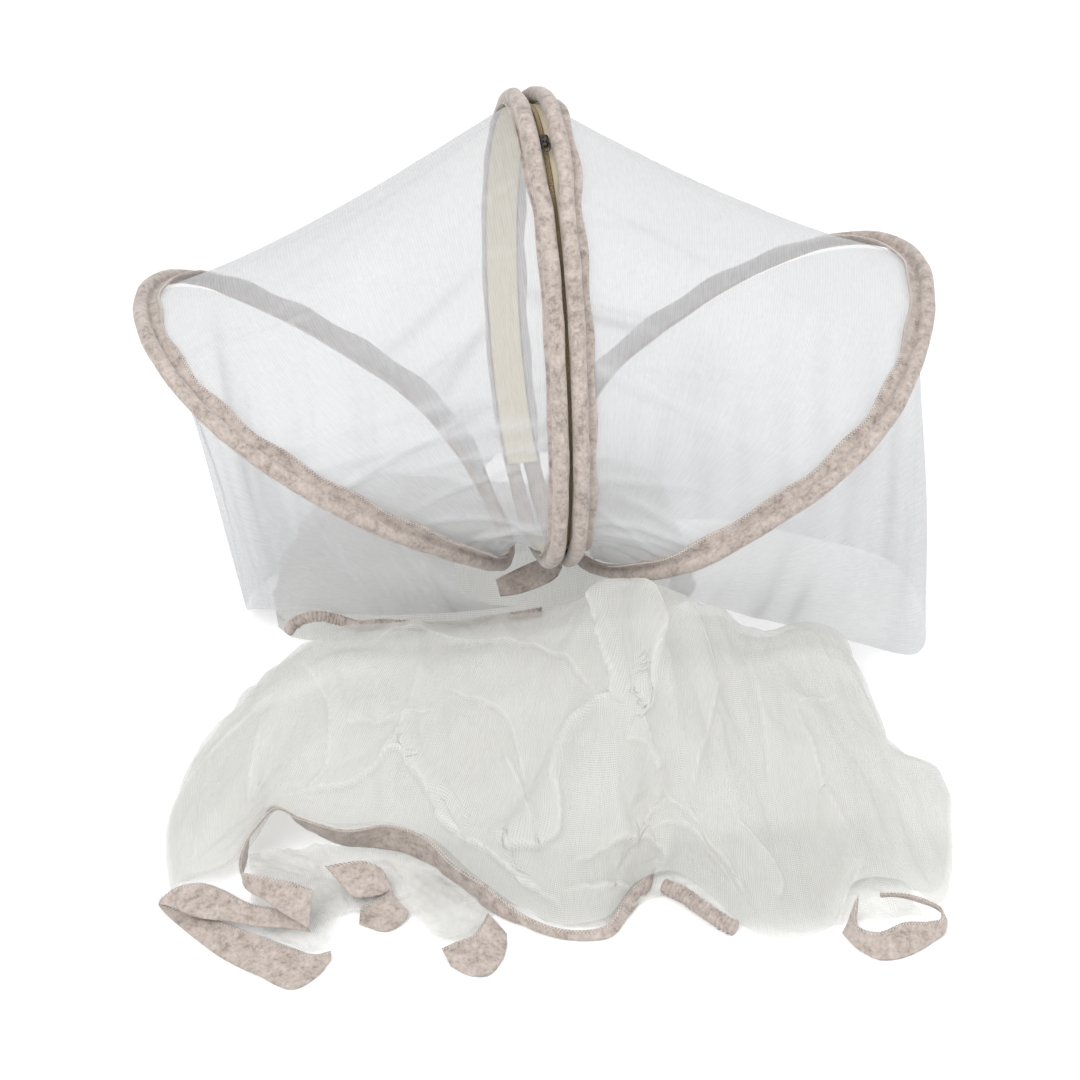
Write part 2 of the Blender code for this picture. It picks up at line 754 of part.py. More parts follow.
def main():
    for old in list(bpy.data.objects):
        bpy.data.objects.remove(old)
    materials = {
        "net": makeMaterial("knitted polyester net", (0.82, 0.83, 0.82), 0.7),
        "binding": makeMaterial("mottled chenille binding", (0.53, 0.45, 0.42), 0.9),
        "tape": makeMaterial("cream zip tape", (0.62, 0.54, 0.40), 0.75),
        "metal": makeMaterial("dark nickel zip slider", (0.16, 0.15, 0.14), 0.35, 1.0),
    }
    leftRing = hoopRing(leftHoopRows, leftLean)
    rightRing = hoopRing(rightHoopRows, rightLean)
    centreRing = hoopRing(centreHoopRows, 0.0)
    buildHoops(leftRing, rightRing, centreRing, materials)
    buildZip(centreRing, materials)
    net = materials["net"]
    binding = materials["binding"]
    sheetNode("canopy_net_left", canopyGrid(leftRing, centreRing, -1), netThickness, net)
    sheetNode("canopy_net_right", canopyGrid(rightRing, centreRing, 1), netThickness, net)
    left = skirtGrid(leftRing, centreRing, leftSkirtRows, leftSkirtFolds)
    right = skirtGrid(rightRing, centreRing, rightSkirtRows, rightSkirtFolds)
    sheetNode("skirt_net_left", left, netThickness, net)
    sheetNode("skirt_net_right", right, netThickness, net)
    sheetNode("skirt_net_front", frontGrid(), netThickness, net)
    sheetNode("skirt_net_inner", innerGrid(), netThickness, net)
    pocketNode("skirt_net_fold", foldNetRows, 7, 5, net)
    pocketNode("skirt_net_corner", cornerNetRows, 8, 6, net)
    pocketNode("skirt_net_tab", tabNetRows, 7, 8, net)
    bindingNode("hem_binding_front", frontBindingRows, 40, 3, binding)
    bindingNode("hem_binding_corner", cornerBindingRows, 26, 3, binding)
    bindingNode("hem_binding_inner", innerBindingRows, 14, 3, binding)
    bindingNode("hem_binding_tab", tabBindingRows, 9, 3, binding)
    bindingNode("hem_binding_right", rightBindingRows, 20, 3, binding)
    elasticNode("hem_elastic_front", frontElasticRows, 15, 15, 12, binding)
    elasticNode("hem_elastic_back", backElasticRows, 41, 11, 8, binding)
    standOnOrigin()


main()
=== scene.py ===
# Folding canopy mosquito net for a cot, half open on a white table.
# White knitted net on hoops in greige chenille sleeves, with a zip over the top and a long skirt heaped in front.
# Tables are in millimetres, measured from the hoops' feet; everything is moved onto the frame when it is made.
import math

import bpy
import mathutils
import numpy as np
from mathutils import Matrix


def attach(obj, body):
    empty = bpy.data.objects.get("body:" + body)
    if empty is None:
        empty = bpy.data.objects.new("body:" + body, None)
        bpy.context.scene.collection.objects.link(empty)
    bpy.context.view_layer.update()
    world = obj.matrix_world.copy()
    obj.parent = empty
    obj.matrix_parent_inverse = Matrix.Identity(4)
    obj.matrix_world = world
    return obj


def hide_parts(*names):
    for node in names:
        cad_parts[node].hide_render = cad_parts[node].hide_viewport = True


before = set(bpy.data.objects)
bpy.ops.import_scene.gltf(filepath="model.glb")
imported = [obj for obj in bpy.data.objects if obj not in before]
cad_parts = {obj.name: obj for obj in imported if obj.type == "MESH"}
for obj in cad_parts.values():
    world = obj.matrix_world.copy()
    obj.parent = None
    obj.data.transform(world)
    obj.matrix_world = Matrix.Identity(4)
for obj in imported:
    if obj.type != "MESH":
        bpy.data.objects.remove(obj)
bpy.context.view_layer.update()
print("frame loaded,", len(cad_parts), "nodes")

frameShift = np.array((-3.6, 153.7, 0.0))  # from the hoops' feet to the frame's origin

# Sizes shared by several pieces
sizes = {
    "foot": (-2.0, 1.0, 130.0),
    "leftLean": -52.0,
    "rightLean": 55.5,
    "hoopRoll": 7.0,
    "zipRoll": 7.5,
    "flange": 11.0,
    "seamDrop": 1.9,
    "skirtDrop": 1.6,
    "tapeHalf": 15.5,
    "rollGap": 9.4,
    "rollTopSpread": 3.6,
    "sag": 12.0,
    "binding": 1.5,
}

# Hoop centre lines. Columns: along from the foot, across (the near side is negative),
# and side, the bend out of the hoop's own plane.
leftHoopRows = (
    (22, 0, -20),
    (36, -52, -18),
    (62, -92, -10),
    (97, -123, -3),
    (148, -152, 0),
    (219, -176, 0),
    (293, -183, 0),
    (361, -172, 0),
    (418, -138, 0),
    (455, -81, 0),
    (468, -2, 0),
    (446, 78, 0),
    (396, 140, 0),
    (318, 172, 0),
    (218, 184, 0),
    (119, 168, -2),
    (66, 128, -9),
    (32, 62, -17),
)
rightHoopRows = (
    (22, 0, 22),
    (32, -56, 20),
    (56, -112, 10),
    (90, -158, 4),
    (142, -198, 0),
    (215, -209, 0),
    (286, -209, 0),
    (353, -183, 0),
    (410, -125, 0),
    (447, -55, 0),
    (463, 16, 0),
    (446, 91, 0),
    (400, 150, 0),
    (319, 192, 0),
    (230, 203, 0),
    (130, 190, 2),
    (72, 146, 10),
    (32, 66, 19),
)
centreHoopRows = (
    (20, 0, 0),
    (30, -72, 0),
    (56, -134, 0),
    (98, -176, 0),
    (165, -190, 0),
    (247, -180, 0),
    (328, -156, 0),
    (396, -116, 0),
    (438, -68, 0),
    (460, 0, 0),
    (442, 68, 0),
    (392, 142, 0),
    (322, 192, 0),
    (246, 214, 0),
    (165, 208, 0),
    (96, 176, 0),
    (48, 122, 0),
    (27, 62, 0),
)

# Lower edge of each side skirt. Columns: turn round the hoop from its foot, x, y, z,
# and draw, how late the cloth is drawn in on its way down.
leftSkirtRows = (
    (0.135, -30, -64, 92, 2.4),
    (0.20, -94, -62, 90, 1.3),
    (0.27, -150, -52, 87, 1.0),
    (0.33, -205, -18, 72, 0.85),
    (0.39, -255, 30, 50, 0.8),
    (0.45, -283, 58, 36, 0.68),
    (0.50, -290, 92, 14, 0.7),
    (0.58, -280, 142, 0.7, 0.9),
    (0.66, -236, 186, 0.7, 1.0),
    (0.73, -180, 200, 0.7, 1.0),
    (0.79, -124, 204, 0.7, 1.0),
)
rightSkirtRows = (
    (0.15, 76, -76, 96, 2.0),
    (0.20, 146, -76, 84, 1.4),
    (0.26, 205, -84, 64, 1.1),
    (0.31, 256, -76, 40, 1.0),
    (0.36, 318, -58, 4, 1.0),
    (0.41, 372, -86, 0.7, 1.0),
    (0.46, 408, 10, 0.7, 2.2),
    (0.53, 396, 90, 0.7, 1.8),
    (0.63, 324, 150, 0.7, 1.2),
    (0.72, 236, 202, 0.7, 1.0),
    (0.79, 150, 208, 0.7, 1.0),
)

# Front skirt, a row for each section from left to right. Columns: crest x, y, z,
# billow, how far the cloth swells below the crest, and x, y, z of the edge that the hem is sewn to.
frontSkirtRows = (
    (-300, -74, 4, 2, -394, -338, 5),
    (-286, -88, 52, 16, -374, -338, 22),
    (-262, -86, 68, 30, -352, -342, 30),
    (-232, -84, 88, 36, -334, -338, 38),
    (-204, -82, 100, 38, -318, -320, 46),
    (-178, -92, 104, 38, -299, -304, 63),
    (-150, -98, 104, 36, -273, -315, 60),
    (-118, -102, 108, 34, -236, -327, 53),
    (-84, -106, 110, 34, -196, -322, 46),
    (-52, -112, 114, 36, -160, -338, 39),
    (-22, -130, 128, 34, -124, -388, 28),
    (6, -168, 162, 26, -84, -430, 16),
    (30, -194, 196, 16, -52, -448, 11),
    (58, -204, 203, 18, -16, -446, 13),
    (86, -206, 190, 24, 20, -408, 17),
    (110, -204, 176, 26, 52, -398, 17),
    (134, -184, 154, 22, 80, -428, 12),
    (152, -166, 136, 20, 112, -484, 4),
    (176, -152, 102, 22, 146, -496, 4),
    (204, -140, 84, 24, 182, -486, 6),
    (234, -130, 84, 20, 208, -452, 26),
    (262, -128, 78, 14, 250, -458, 25),
    (286, -126, 60, 8, 274, -474, 8),
    (304, -132, 4, 2, 296, -430, 0.7),
)

# Inner heap of skirt behind the hoops' feet. Columns: x, crest y, crest z, front y, back y.
innerHeapRows = (
    (-260, 118, 3, 96, 140),
    (-246, 128, 52, 74, 160),
    (-214, 140, 98, 62, 172),
    (-166, 146, 120, 56, 176),
    (-112, 148, 126, 52, 178),
    (-60, 146, 112, 48, 176),
    (0, 144, 104, 46, 174),
    (60, 146, 112, 48, 176),
    (104, 148, 122, 52, 178),
    (144, 146, 102, 60, 174),
    (168, 138, 60, 74, 164),
    (184, 126, 3, 100, 146),
)

# Binding sewn round the hem. Columns: x, y, z of the inner edge on the net, x, y, z of the free edge.
frontBindingRows = (
    (40, -391, 17, 34, -402, 3),
    (7, -421, 15, 7, -436, 3),
    (-18, -453, 11, -16, -461, 2),
    (-52, -452, 10, -55, -457, 2),
    (-85, -433, 14, -86, -437, 3),
    (-115, -400, 25, -112, -412, 4),
    (-143, -372, 33, -138, -372, 7),
    (-161, -342, 40, -162, -342, 11),
    (-192, -326, 46, -196, -322, 15),
    (-232, -332, 50, -236, -316, 21),
    (-270, -318, 57, -272, -298, 36),
    (-294, -306, 60, -292, -276, 42),
    (-309, -318, 54, -303, -288, 38),
    (-322, -332, 47, -315, -302, 33),
    (-328, -346, 43, -320, -318, 27),
    (-329, -362, 40, -326, -342, 22),
    (-322, -374, 47, -325, -378, 31),
    (-306, -380, 46, -312, -392, 30),
    (-286, -388, 44, -297, -410, 28),
    (-268, -398, 41, -276, -431, 25),
)
cornerBindingRows = (
    (-280, -404, 20, -274, -421, 12),
    (-302, -394, 21, -291, -415, 13),
    (-323, -386, 23, -316, -409, 14),
    (-346, -366, 26, -344, -398, 15),
    (-367, -352, 25, -374, -384, 13),
    (-392, -350, 17, -396, -362, 11),
    (-402, -352, 9, -403, -356, 6.5),
    (-392, -358, 5.5, -397, -364, 1.5),
    (-372, -370, 8, -378, -394, 1.5),
    (-341, -396, 9, -352, -430, 1.5),
    (-313, -417, 9, -324, -457, 1.5),
    (-290, -434, 8, -294, -480, 1.5),
    (-272, -444, 7, -270, -464, 1.5),
    (-258, -440, 6, -260, -450, 1.5),
)
innerBindingRows = (
    (-254, -351, 27, -232, -384, 13),
    (-236, -350, 28, -220, -384, 13),
    (-218, -350, 27, -204, -380, 12),
    (-204, -356, 21, -197, -374, 10),
    (-201, -362, 13, -198, -382, 7),
    (-205, -376, 9, -186, -404, 5),
    (-214, -382, 7, -206, -420, 2),
    (-226, -386, 6, -230, -406, 2),
)

# Net that shows inside the hem's folds. Columns: x, y, z at the binding, x, y, z back in the heap.
foldNetRows = (
    (-321, -369, 50, -308, -336, 40),
    (-305, -374, 49, -288, -332, 34),
    (-287, -381, 47, -268, -336, 31),
    (-269, -390, 44, -262, -350, 34),
)
cornerNetRows = (
    (-318, -410, 7, -292, -374, 7),
    (-300, -423, 7, -270, -364, 9),
    (-287, -432, 6, -256, -360, 10),
    (-273, -440, 5, -246, -366, 10),
    (-260, -436, 5, -238, -384, 9),
)
tabNetRows = (
    (-190, -350, 20, -165, -452, 10),
    (-176, -356, 16, -150, -447, 11),
    (-164, -360, 13, -137, -442, 11),
    (-152, -366, 10, -119, -413, 11),
)
tabBindingRows = (
    (-164, -456, 8, -158, -474, 1.5),
    (-150, -451, 9, -146, -487, 1.5),
    (-136, -446, 9, -130, -492, 1.5),
    (-125, -432, 9, -113, -474, 1.5),
    (-118, -418, 9, -103, -440, 1.5),
)
rightBindingRows = (
    (207, -466, 23, 187, -490, 1.5),
    (200, -494, 12, 196, -514, 1.5),
    (214, -506, 14, 208, -528, 1.5),
    (238, -500, 16, 230, -530, 1.5),
    (262, -500, 14, 260, -516, 1.5),
    (274, -496, 13, 277, -504, 3),
    (276, -488, 16, 281, -492, 6),
    (266, -480, 20, 270, -478, 10),
    (248, -472, 23, 250, -468, 14),
    (226, -468, 24, 228, -464, 16),
)

# Soft folds of the front skirt in plan. Columns: start x, start y, end x, end y, height, half width.
frontFoldRows = (
    (58, -215, 78, -330, 26, 20),
    (20, -210, -60, -330, -14, 26),
    (120, -215, 150, -380, -12, 20),
    (-60, -150, -130, -300, 12, 30),
    (-150, -120, -240, -260, 10, 30),
    (190, -160, 230, -400, 10, 26),
    (0, -330, -110, -380, 14, 22),
    (-250, -130, -320, -260, 8, 24),
)

# Folds of the side skirts. Columns: turn, half width as a turn, height.
leftSkirtFolds = (
    (0.22, 0.02, 7),
    (0.31, 0.02, -6),
    (0.40, 0.018, 8),
    (0.47, 0.02, -6),
    (0.62, 0.03, 8),
)
rightSkirtFolds = (
    (0.22, 0.02, -6),
    (0.30, 0.02, 7),
    (0.37, 0.016, -8),
    (0.43, 0.014, 9),
    (0.60, 0.03, 8),
)

# Ruched elastic hems, the centre line of the gathered casing. Columns: x, y, z.
frontElasticRows = (
    (44, -408, 8),
    (56, -420, 8),
    (68, -438, 8),
    (80, -458, 8),
    (94, -474, 7),
)
backElasticRows = (
    (-254, -2, 46),
    (-246, -14, 64),
    (-226, -22, 74),
    (-206, -26, 70),
    (-186, -44, 72),
    (-168, -56, 80),
    (-140, -66, 82),
    (-104, -72, 80),
    (-66, -72, 82),
    (-38, -72, 84),
    (-8, -74, 88),
)




# Small maths
def unit(vectors):
    return vectors / np.maximum(np.linalg.norm(vectors, axis=-1, keepdims=True), 1e-9)


def through(rows, count, closed=False, start=0.0, end=1.0):
    # evenly spaced points on a smooth curve through the rows
    knots = np.array(rows, float)
    if closed:
        knots = np.vstack([knots, knots[:1]])
    steps = np.linalg.norm(np.diff(knots, axis=0), axis=1)
    at = np.concatenate([[0.0], np.cumsum(steps)])
    slopes = np.diff(knots, axis=0) / steps[:, None]
    tangents = np.empty_like(knots)
    weight = (steps[1:] / (steps[1:] + steps[:-1]))[:, None]
    tangents[1:-1] = slopes[:-1] * weight + slopes[1:] * (1 - weight)
    if closed:
        ends = steps[0] / (steps[0] + steps[-1])
        tangents[0] = slopes[-1] * ends + slopes[0] * (1 - ends)
        tangents[-1] = tangents[0]
    else:
        tangents[0] = slopes[0]
        tangents[-1] = slopes[-1]
    place = np.linspace(start, end, count, endpoint=not closed) * at[-1]
    which = np.clip(np.searchsorted(at, place, side="right") - 1, 0, len(steps) - 1)
    span = steps[which][:, None]
    t = ((place - at[which]) / steps[which])[:, None]
    return (
        (2 * t**3 - 3 * t**2 + 1) * knots[which]
        + (t**3 - 2 * t**2 + t) * span * tangents[which]
        + (3 * t**2 - 2 * t**3) * knots[which + 1]
        + (t**3 - t**2) * span * tangents[which + 1]
    )


def atTurn(ring, turn):
    place = np.asarray(turn) * len(ring)
    low = np.floor(place).astype(int)
    part = (place - low)[:, None]
    return ring[low % len(ring)] * (1 - part) + ring[(low + 1) % len(ring)] * part


def gridNormals(grid):
    return unit(np.cross(np.gradient(grid, axis=0), np.gradient(grid, axis=1)))


def ripple(points, size, seed, count=7):
    # soft uneven waves of about one size in mm, between -1 and 1
    rolls = np.random.default_rng(seed)
    total = np.zeros(points.shape[:-1])
    for _ in range(count):
        way = rolls.normal(size=points.shape[-1])
        way *= 2 * math.pi / (size * rolls.uniform(0.7, 1.5)) / np.linalg.norm(way)
        total += np.sin(points @ way + rolls.uniform(0, 2 * math.pi))
    return total / math.sqrt(count) / 1.4


def smoothStep(x):
    x = np.clip(x, 0.0, 1.0)
    return x * x * (3 - 2 * x)


def refine(grid):
    # twice the points each way, on a smooth surface through the first ones
    for axis in (0, 1):
        g = np.moveaxis(grid, axis, 0)
        padded = np.concatenate([2 * g[:1] - g[1:2], g, 2 * g[-1:] - g[-2:-1]])
        middle = (9 * (padded[1:-2] + padded[2:-1]) - padded[:-3] - padded[3:]) / 16
        out = np.empty((2 * len(g) - 1, *g.shape[1:]))
        out[::2] = g
        out[1::2] = middle
        grid = np.moveaxis(out, 0, axis)
    return grid


def ridges(grid):
    # how much the cloth is folded over at each point: about 0 on flat cloth and 1 on a sharp fold
    bend = np.zeros(grid.shape[:2])
    inner = grid[1:-1, 1:-1]
    around = (grid[:-2, 1:-1] + grid[2:, 1:-1] + grid[1:-1, :-2] + grid[1:-1, 2:]) / 4
    size = np.linalg.norm(grid[2:, 1:-1] - grid[:-2, 1:-1], axis=-1)
    size += np.linalg.norm(grid[1:-1, 2:] - grid[1:-1, :-2], axis=-1)
    bend[1:-1, 1:-1] = np.linalg.norm(inner - around, axis=-1) / np.maximum(size, 0.1) ** 2
    return bend


# Making objects
def makeObject(name, points, faces, material, uvs=None, gather=None):
    mesh = bpy.data.meshes.new(name)
    mesh.from_pydata([tuple(p) for p in (points + frameShift) * 0.001], [], faces)
    if uvs is not None:
        layer = mesh.uv_layers.new(name="UVMap")
        index = np.empty(len(mesh.loops), np.int32)
        mesh.loops.foreach_get("vertex_index", index)
        layer.data.foreach_set("uv", uvs[index].astype(np.float32).ravel())
    if gather is not None:
        mesh.attributes.new("gather", "FLOAT", "POINT").data.foreach_set(
            "value", np.clip(gather, 0, 1).astype(np.float32).ravel()
        )
    mesh.materials.append(material)
    mesh.shade_smooth()
    piece = bpy.data.objects.new(name, mesh)
    bpy.context.scene.collection.objects.link(piece)
    return piece


def gridUvs(grid):
    # real lengths along the cloth, in metres
    down = np.linalg.norm(np.diff(grid, axis=0), axis=-1).mean(axis=1)
    along = np.linalg.norm(np.diff(grid, axis=1), axis=-1).mean(axis=0)
    v = np.concatenate([[0], np.cumsum(down)]) / 1000
    u = np.concatenate([[0], np.cumsum(along)]) / 1000
    return np.stack(np.meshgrid(u, v), axis=-1).reshape(-1, 2)


def netSheet(name, grid, material, gather):
    # open net is thinner than its threads are apart, so it is one surface
    grid = grid.copy()
    grid[..., 2] = np.maximum(grid[..., 2], 0.5)
    rows, columns = grid.shape[:2]
    i, j = np.meshgrid(np.arange(rows - 1), np.arange(columns - 1), indexing="ij")
    a = (i * columns + j).ravel()
    faces = np.stack([a, a + 1, a + columns + 1, a + columns], axis=1).tolist()
    return makeObject(name, grid.reshape(-1, 3), faces, material, gridUvs(grid), gather.reshape(-1))


def clothStrip(name, grid, thickness, material):
    # closed strip of woven cloth, rounded a little at its rim
    normals = gridNormals(grid)
    rows, columns = grid.shape[:2]
    rim = np.ones((rows, columns, 1))
    rim[0] = rim[-1] = 0.55
    rim[:, 0] = rim[:, -1] = 0.55
    front = grid + normals * rim * thickness / 2
    back = grid - normals * rim * thickness / 2
    lift = np.maximum(0.0, 0.1 - np.minimum(front[..., 2], back[..., 2]))
    front[..., 2] += lift
    back[..., 2] += lift
    other = rows * columns
    faces = []
    for i in range(rows - 1):
        for j in range(columns - 1):
            a = i * columns + j
            quad = (a, a + 1, a + columns + 1, a + columns)
            faces.append(quad)
            faces.append(tuple(other + k for k in quad[::-1]))
    edge = list(range(columns))
    edge += [i * columns + columns - 1 for i in range(1, rows)]
    edge += [(rows - 1) * columns + j for j in range(columns - 2, -1, -1)]
    edge += [i * columns for i in range(rows - 2, 0, -1)]
    for k, a in enumerate(edge):
        b = edge[(k + 1) % len(edge)]
        faces.append((b, a, other + a, other + b))
    points = np.concatenate([front.reshape(-1, 3), back.reshape(-1, 3)])
    uvs = gridUvs(grid)
    return makeObject(name, points, faces, material, np.concatenate([uvs, uvs]))


def tube(name, sections, material, closed):
    # body through rows of section points
    count, sides = sections.shape[:2]
    faces = []
    for i in range(count if closed else count - 1):
        for j in range(sides):
            k = (j + 1) % sides
            low = i * sides
            high = (i + 1) % count * sides
            faces.append((low + j, low + k, high + k, high + j))
    if not closed:
        faces.append(tuple(range(sides - 1, -1, -1)))
        faces.append(tuple((count - 1) * sides + j for j in range(sides)))
    length = np.linalg.norm(np.diff(sections.mean(axis=1), axis=0), axis=-1)
    v = np.concatenate([[0], np.cumsum(length)]) / 1000
    ring = np.linalg.norm(np.diff(sections[0], axis=0), axis=-1)
    u = np.concatenate([[0], np.cumsum(ring)]) / 1000
    uvs = np.stack(np.meshgrid(u, v), axis=-1).reshape(-1, 2)
    piece = makeObject(name, sections.reshape(-1, 3), faces, material, uvs)
    turnOut(piece)
    return piece


def turnOut(piece):
    # faces of a closed body look outward
    mesh = piece.data
    volume = 0.0
    co = np.empty(len(mesh.vertices) * 3)
    mesh.vertices.foreach_get("co", co)
    co = co.reshape(-1, 3)
    for face in mesh.polygons:
        p = co[list(face.vertices)]
        for i in range(1, len(p) - 1):
            volume += np.dot(p[0], np.cross(p[i], p[i + 1]))
    if volume < 0:
        mesh.flip_normals()


def threadSections(line, radius, sides=5):
    # round thread along a line of points
    along = unit(np.gradient(line, axis=0))
    side = unit(np.cross(along, np.array((0.31, 0.22, 0.93))))
    rise = np.cross(along, side)
    turn = 2 * math.pi * np.arange(sides) / sides
    ring = side[:, None] * np.cos(turn)[None, :, None] + rise[:, None] * np.sin(turn)[None, :, None]
    return line[:, None] + ring * radius


# Materials
def hexColour(code):
    # sRGB hex to linear light
    parts = [int(code[i : i + 2], 16) / 255 for i in (1, 3, 5)]
    linear = [c / 12.92 if c <= 0.04045 else ((c + 0.055) / 1.055) ** 2.4 for c in parts]
    return (*linear, 1.0)


def addNode(tree, kind, settings, links):
    # adds a node: settings go to its inputs or its own properties, links to its inputs
    node = tree.nodes.new("ShaderNode" + kind)
    for key, value in settings.items():
        if isinstance(key, str) and hasattr(node, key):
            setattr(node, key, value)
    for key, value in settings.items():
        if not (isinstance(key, str) and hasattr(node, key)):
            node.inputs[key].default_value = value
    for key, source in links.items():
        tree.links.new(source, node.inputs[key])
    return node


def newMaterial(name):
    material = bpy.data.materials.new(name)
    material.use_nodes = True
    tree = material.node_tree
    tree.nodes.clear()
    return material, tree


def mixedColour(tree, first, second, amount):
    # goes from the first colour to the second with the amount
    settings = {"data_type": "RGBA", 6: hexColour(first), 7: hexColour(second)}
    return addNode(tree, "Mix", settings, {0: amount}).outputs[2]


def unevenBy(tree, noise, depth):
    # turns noise, which stays near a half, into a change of up to depth either way
    settings = {"From Min": 0.3, "From Max": 0.7, "To Min": -depth, "To Max": depth}
    return addNode(tree, "MapRange", settings, {"Value": noise}).outputs[0]


# Knitted polyester net: fine white threads with holes, so it shows what is behind it.
# Threads scatter light and let some through. The real mesh is about 1.5 mm, drawn at 1.7 mm so that it shows.
def makeNet(name, look):
    material, tree = newMaterial(name)
    uv = addNode(tree, "UVMap", {}, {})
    place = addNode(tree, "TexCoord", {}, {})
    parts = addNode(tree, "SeparateXYZ", {}, {0: uv.outputs["UV"]})
    lines = []
    for axis in ("X", "Y"):
        perMetre = math.pi / look["meshSize"]
        turn = addNode(tree, "Math", {"operation": "MULTIPLY", 1: perMetre}, {0: parts.outputs[axis]})
        wave = addNode(tree, "Math", {"operation": "SINE"}, {0: turn.outputs[0]})
        lines.append(addNode(tree, "Math", {"operation": "ABSOLUTE"}, {0: wave.outputs[0]}))
    hole = addNode(tree, "Math", {"operation": "MULTIPLY"}, {0: lines[0].outputs[0], 1: lines[1].outputs[0]})
    knit = addNode(
        tree,
        "MapRange",
        {"From Min": 0.15, "From Max": 0.75, "To Min": look["threadCover"], "To Max": look["holeCover"]},
        {"Value": hole.outputs[0]},
    )
    gather = addNode(tree, "Attribute", {"attribute_name": "gather"}, {})
    folded = addNode(tree, "Math", {"operation": "MULTIPLY", 1: look["gatherCover"]}, {0: gather.outputs["Fac"]})
    at = place.outputs["Object"]
    clouds = addNode(tree, "TexNoise", {"Scale": look["cloudScale"], "Detail": 3.0}, {"Vector": at})
    cloudy = unevenBy(tree, clouds.outputs["Fac"], look["cloud"])
    # courses of the knit differ a little, which shows as faint streaks along the cloth
    stretched = addNode(tree, "Mapping", {"Scale": look["streak"]}, {"Vector": uv.outputs["UV"]})
    courses = addNode(tree, "TexNoise", {"Scale": 1.0, "Detail": 2.0}, {"Vector": stretched.outputs[0]})
    streaks = unevenBy(tree, courses.outputs["Fac"], look["streakDepth"])
    uneven = addNode(tree, "Math", {"operation": "ADD"}, {0: knit.outputs[0], 1: streaks})
    cover = addNode(tree, "Math", {"operation": "ADD"}, {0: uneven.outputs[0], 1: folded.outputs[0]})
    cover = addNode(tree, "Math", {"operation": "ADD", "use_clamp": True}, {0: cover.outputs[0], 1: cloudy})
    tint = mixedColour(tree, look["thread"], look["deep"], clouds.outputs["Fac"])
    surface = addNode(
        tree, "BsdfPrincipled", {"Roughness": 0.72, "IOR": 1.55, "Specular IOR Level": 0.25}, {"Base Color": tint}
    )
    through = addNode(tree, "BsdfTranslucent", {}, {"Color": tint})
    thread = addNode(tree, "MixShader", {0: look["lightThrough"]}, {1: surface.outputs[0], 2: through.outputs[0]})
    clear = addNode(tree, "BsdfTransparent", {}, {})
    shown = addNode(tree, "MixShader", {}, {0: cover.outputs[0], 1: clear.outputs[0], 2: thread.outputs[0]})
    addNode(tree, "OutputMaterial", {}, {"Surface": shown.outputs[0]})
    return material


# Chenille: short cut pile, greige and uneven, which looks matt and soft with pale and dark flecks about 1 mm wide.
def makeChenille(name, look):
    material, tree = newMaterial(name)
    place = addNode(tree, "TexCoord", {}, {})
    at = place.outputs["Object"]
    fine = {"Scale": 1000 / look["fleck"], "Detail": 3.0, "Roughness": 0.7}
    flecks = addNode(tree, "TexNoise", fine, {"Vector": at})
    wide = {"Scale": 1000 / look["patch"], "Detail": 2.0, "Distortion": 0.4}
    patches = addNode(tree, "TexNoise", wide, {"Vector": at})
    both = addNode(
        tree, "Mix", {"data_type": "FLOAT", 0: 0.45}, {2: flecks.outputs["Fac"], 3: patches.outputs["Fac"]}
    )
    ramp = addNode(tree, "ValToRGB", {}, {0: both.outputs[0]})
    stops = ramp.color_ramp.elements
    stops[0].position, stops[0].color = 0.36, hexColour(look["dark"])
    stops[1].position, stops[1].color = 0.64, hexColour(look["light"])
    middle = stops.new(0.47)
    middle.color = hexColour(look["middle"])
    pile = addNode(tree, "TexNoise", {"Scale": 1000 / look["pile"], "Detail": 2.0}, {"Vector": at})
    bump = addNode(tree, "Bump", {"Strength": 0.55, "Distance": 0.0006}, {"Height": pile.outputs["Fac"]})
    surface = addNode(
        tree,
        "BsdfPrincipled",
        {"Roughness": 0.92, "IOR": 1.5, "Specular IOR Level": 0.2, "Sheen Weight": 0.3, "Sheen Roughness": 0.5},
        {"Base Color": ramp.outputs[0], "Normal": bump.outputs[0]},
    )
    addNode(tree, "OutputMaterial", {}, {"Surface": surface.outputs[0]})
    return material


# Spun polyester sewing thread: white, twisted, slightly glossy, drawn as fine slanting ribs.
def makeThread(name, look):
    material, tree = newMaterial(name)
    place = addNode(tree, "TexCoord", {}, {})
    at = place.outputs["Object"]
    twist = addNode(tree, "TexNoise", {"Scale": 1000 / look["twist"], "Detail": 1.0}, {"Vector": at})
    tint = mixedColour(tree, look["light"], look["dark"], twist.outputs["Fac"])
    bump = addNode(tree, "Bump", {"Strength": 0.3, "Distance": 0.0002}, {"Height": twist.outputs["Fac"]})
    surface = addNode(
        tree, "BsdfPrincipled", {"Roughness": 0.55, "IOR": 1.55}, {"Base Color": tint, "Normal": bump.outputs[0]}
    )
    addNode(tree, "OutputMaterial", {}, {"Surface": surface.outputs[0]})
    return material


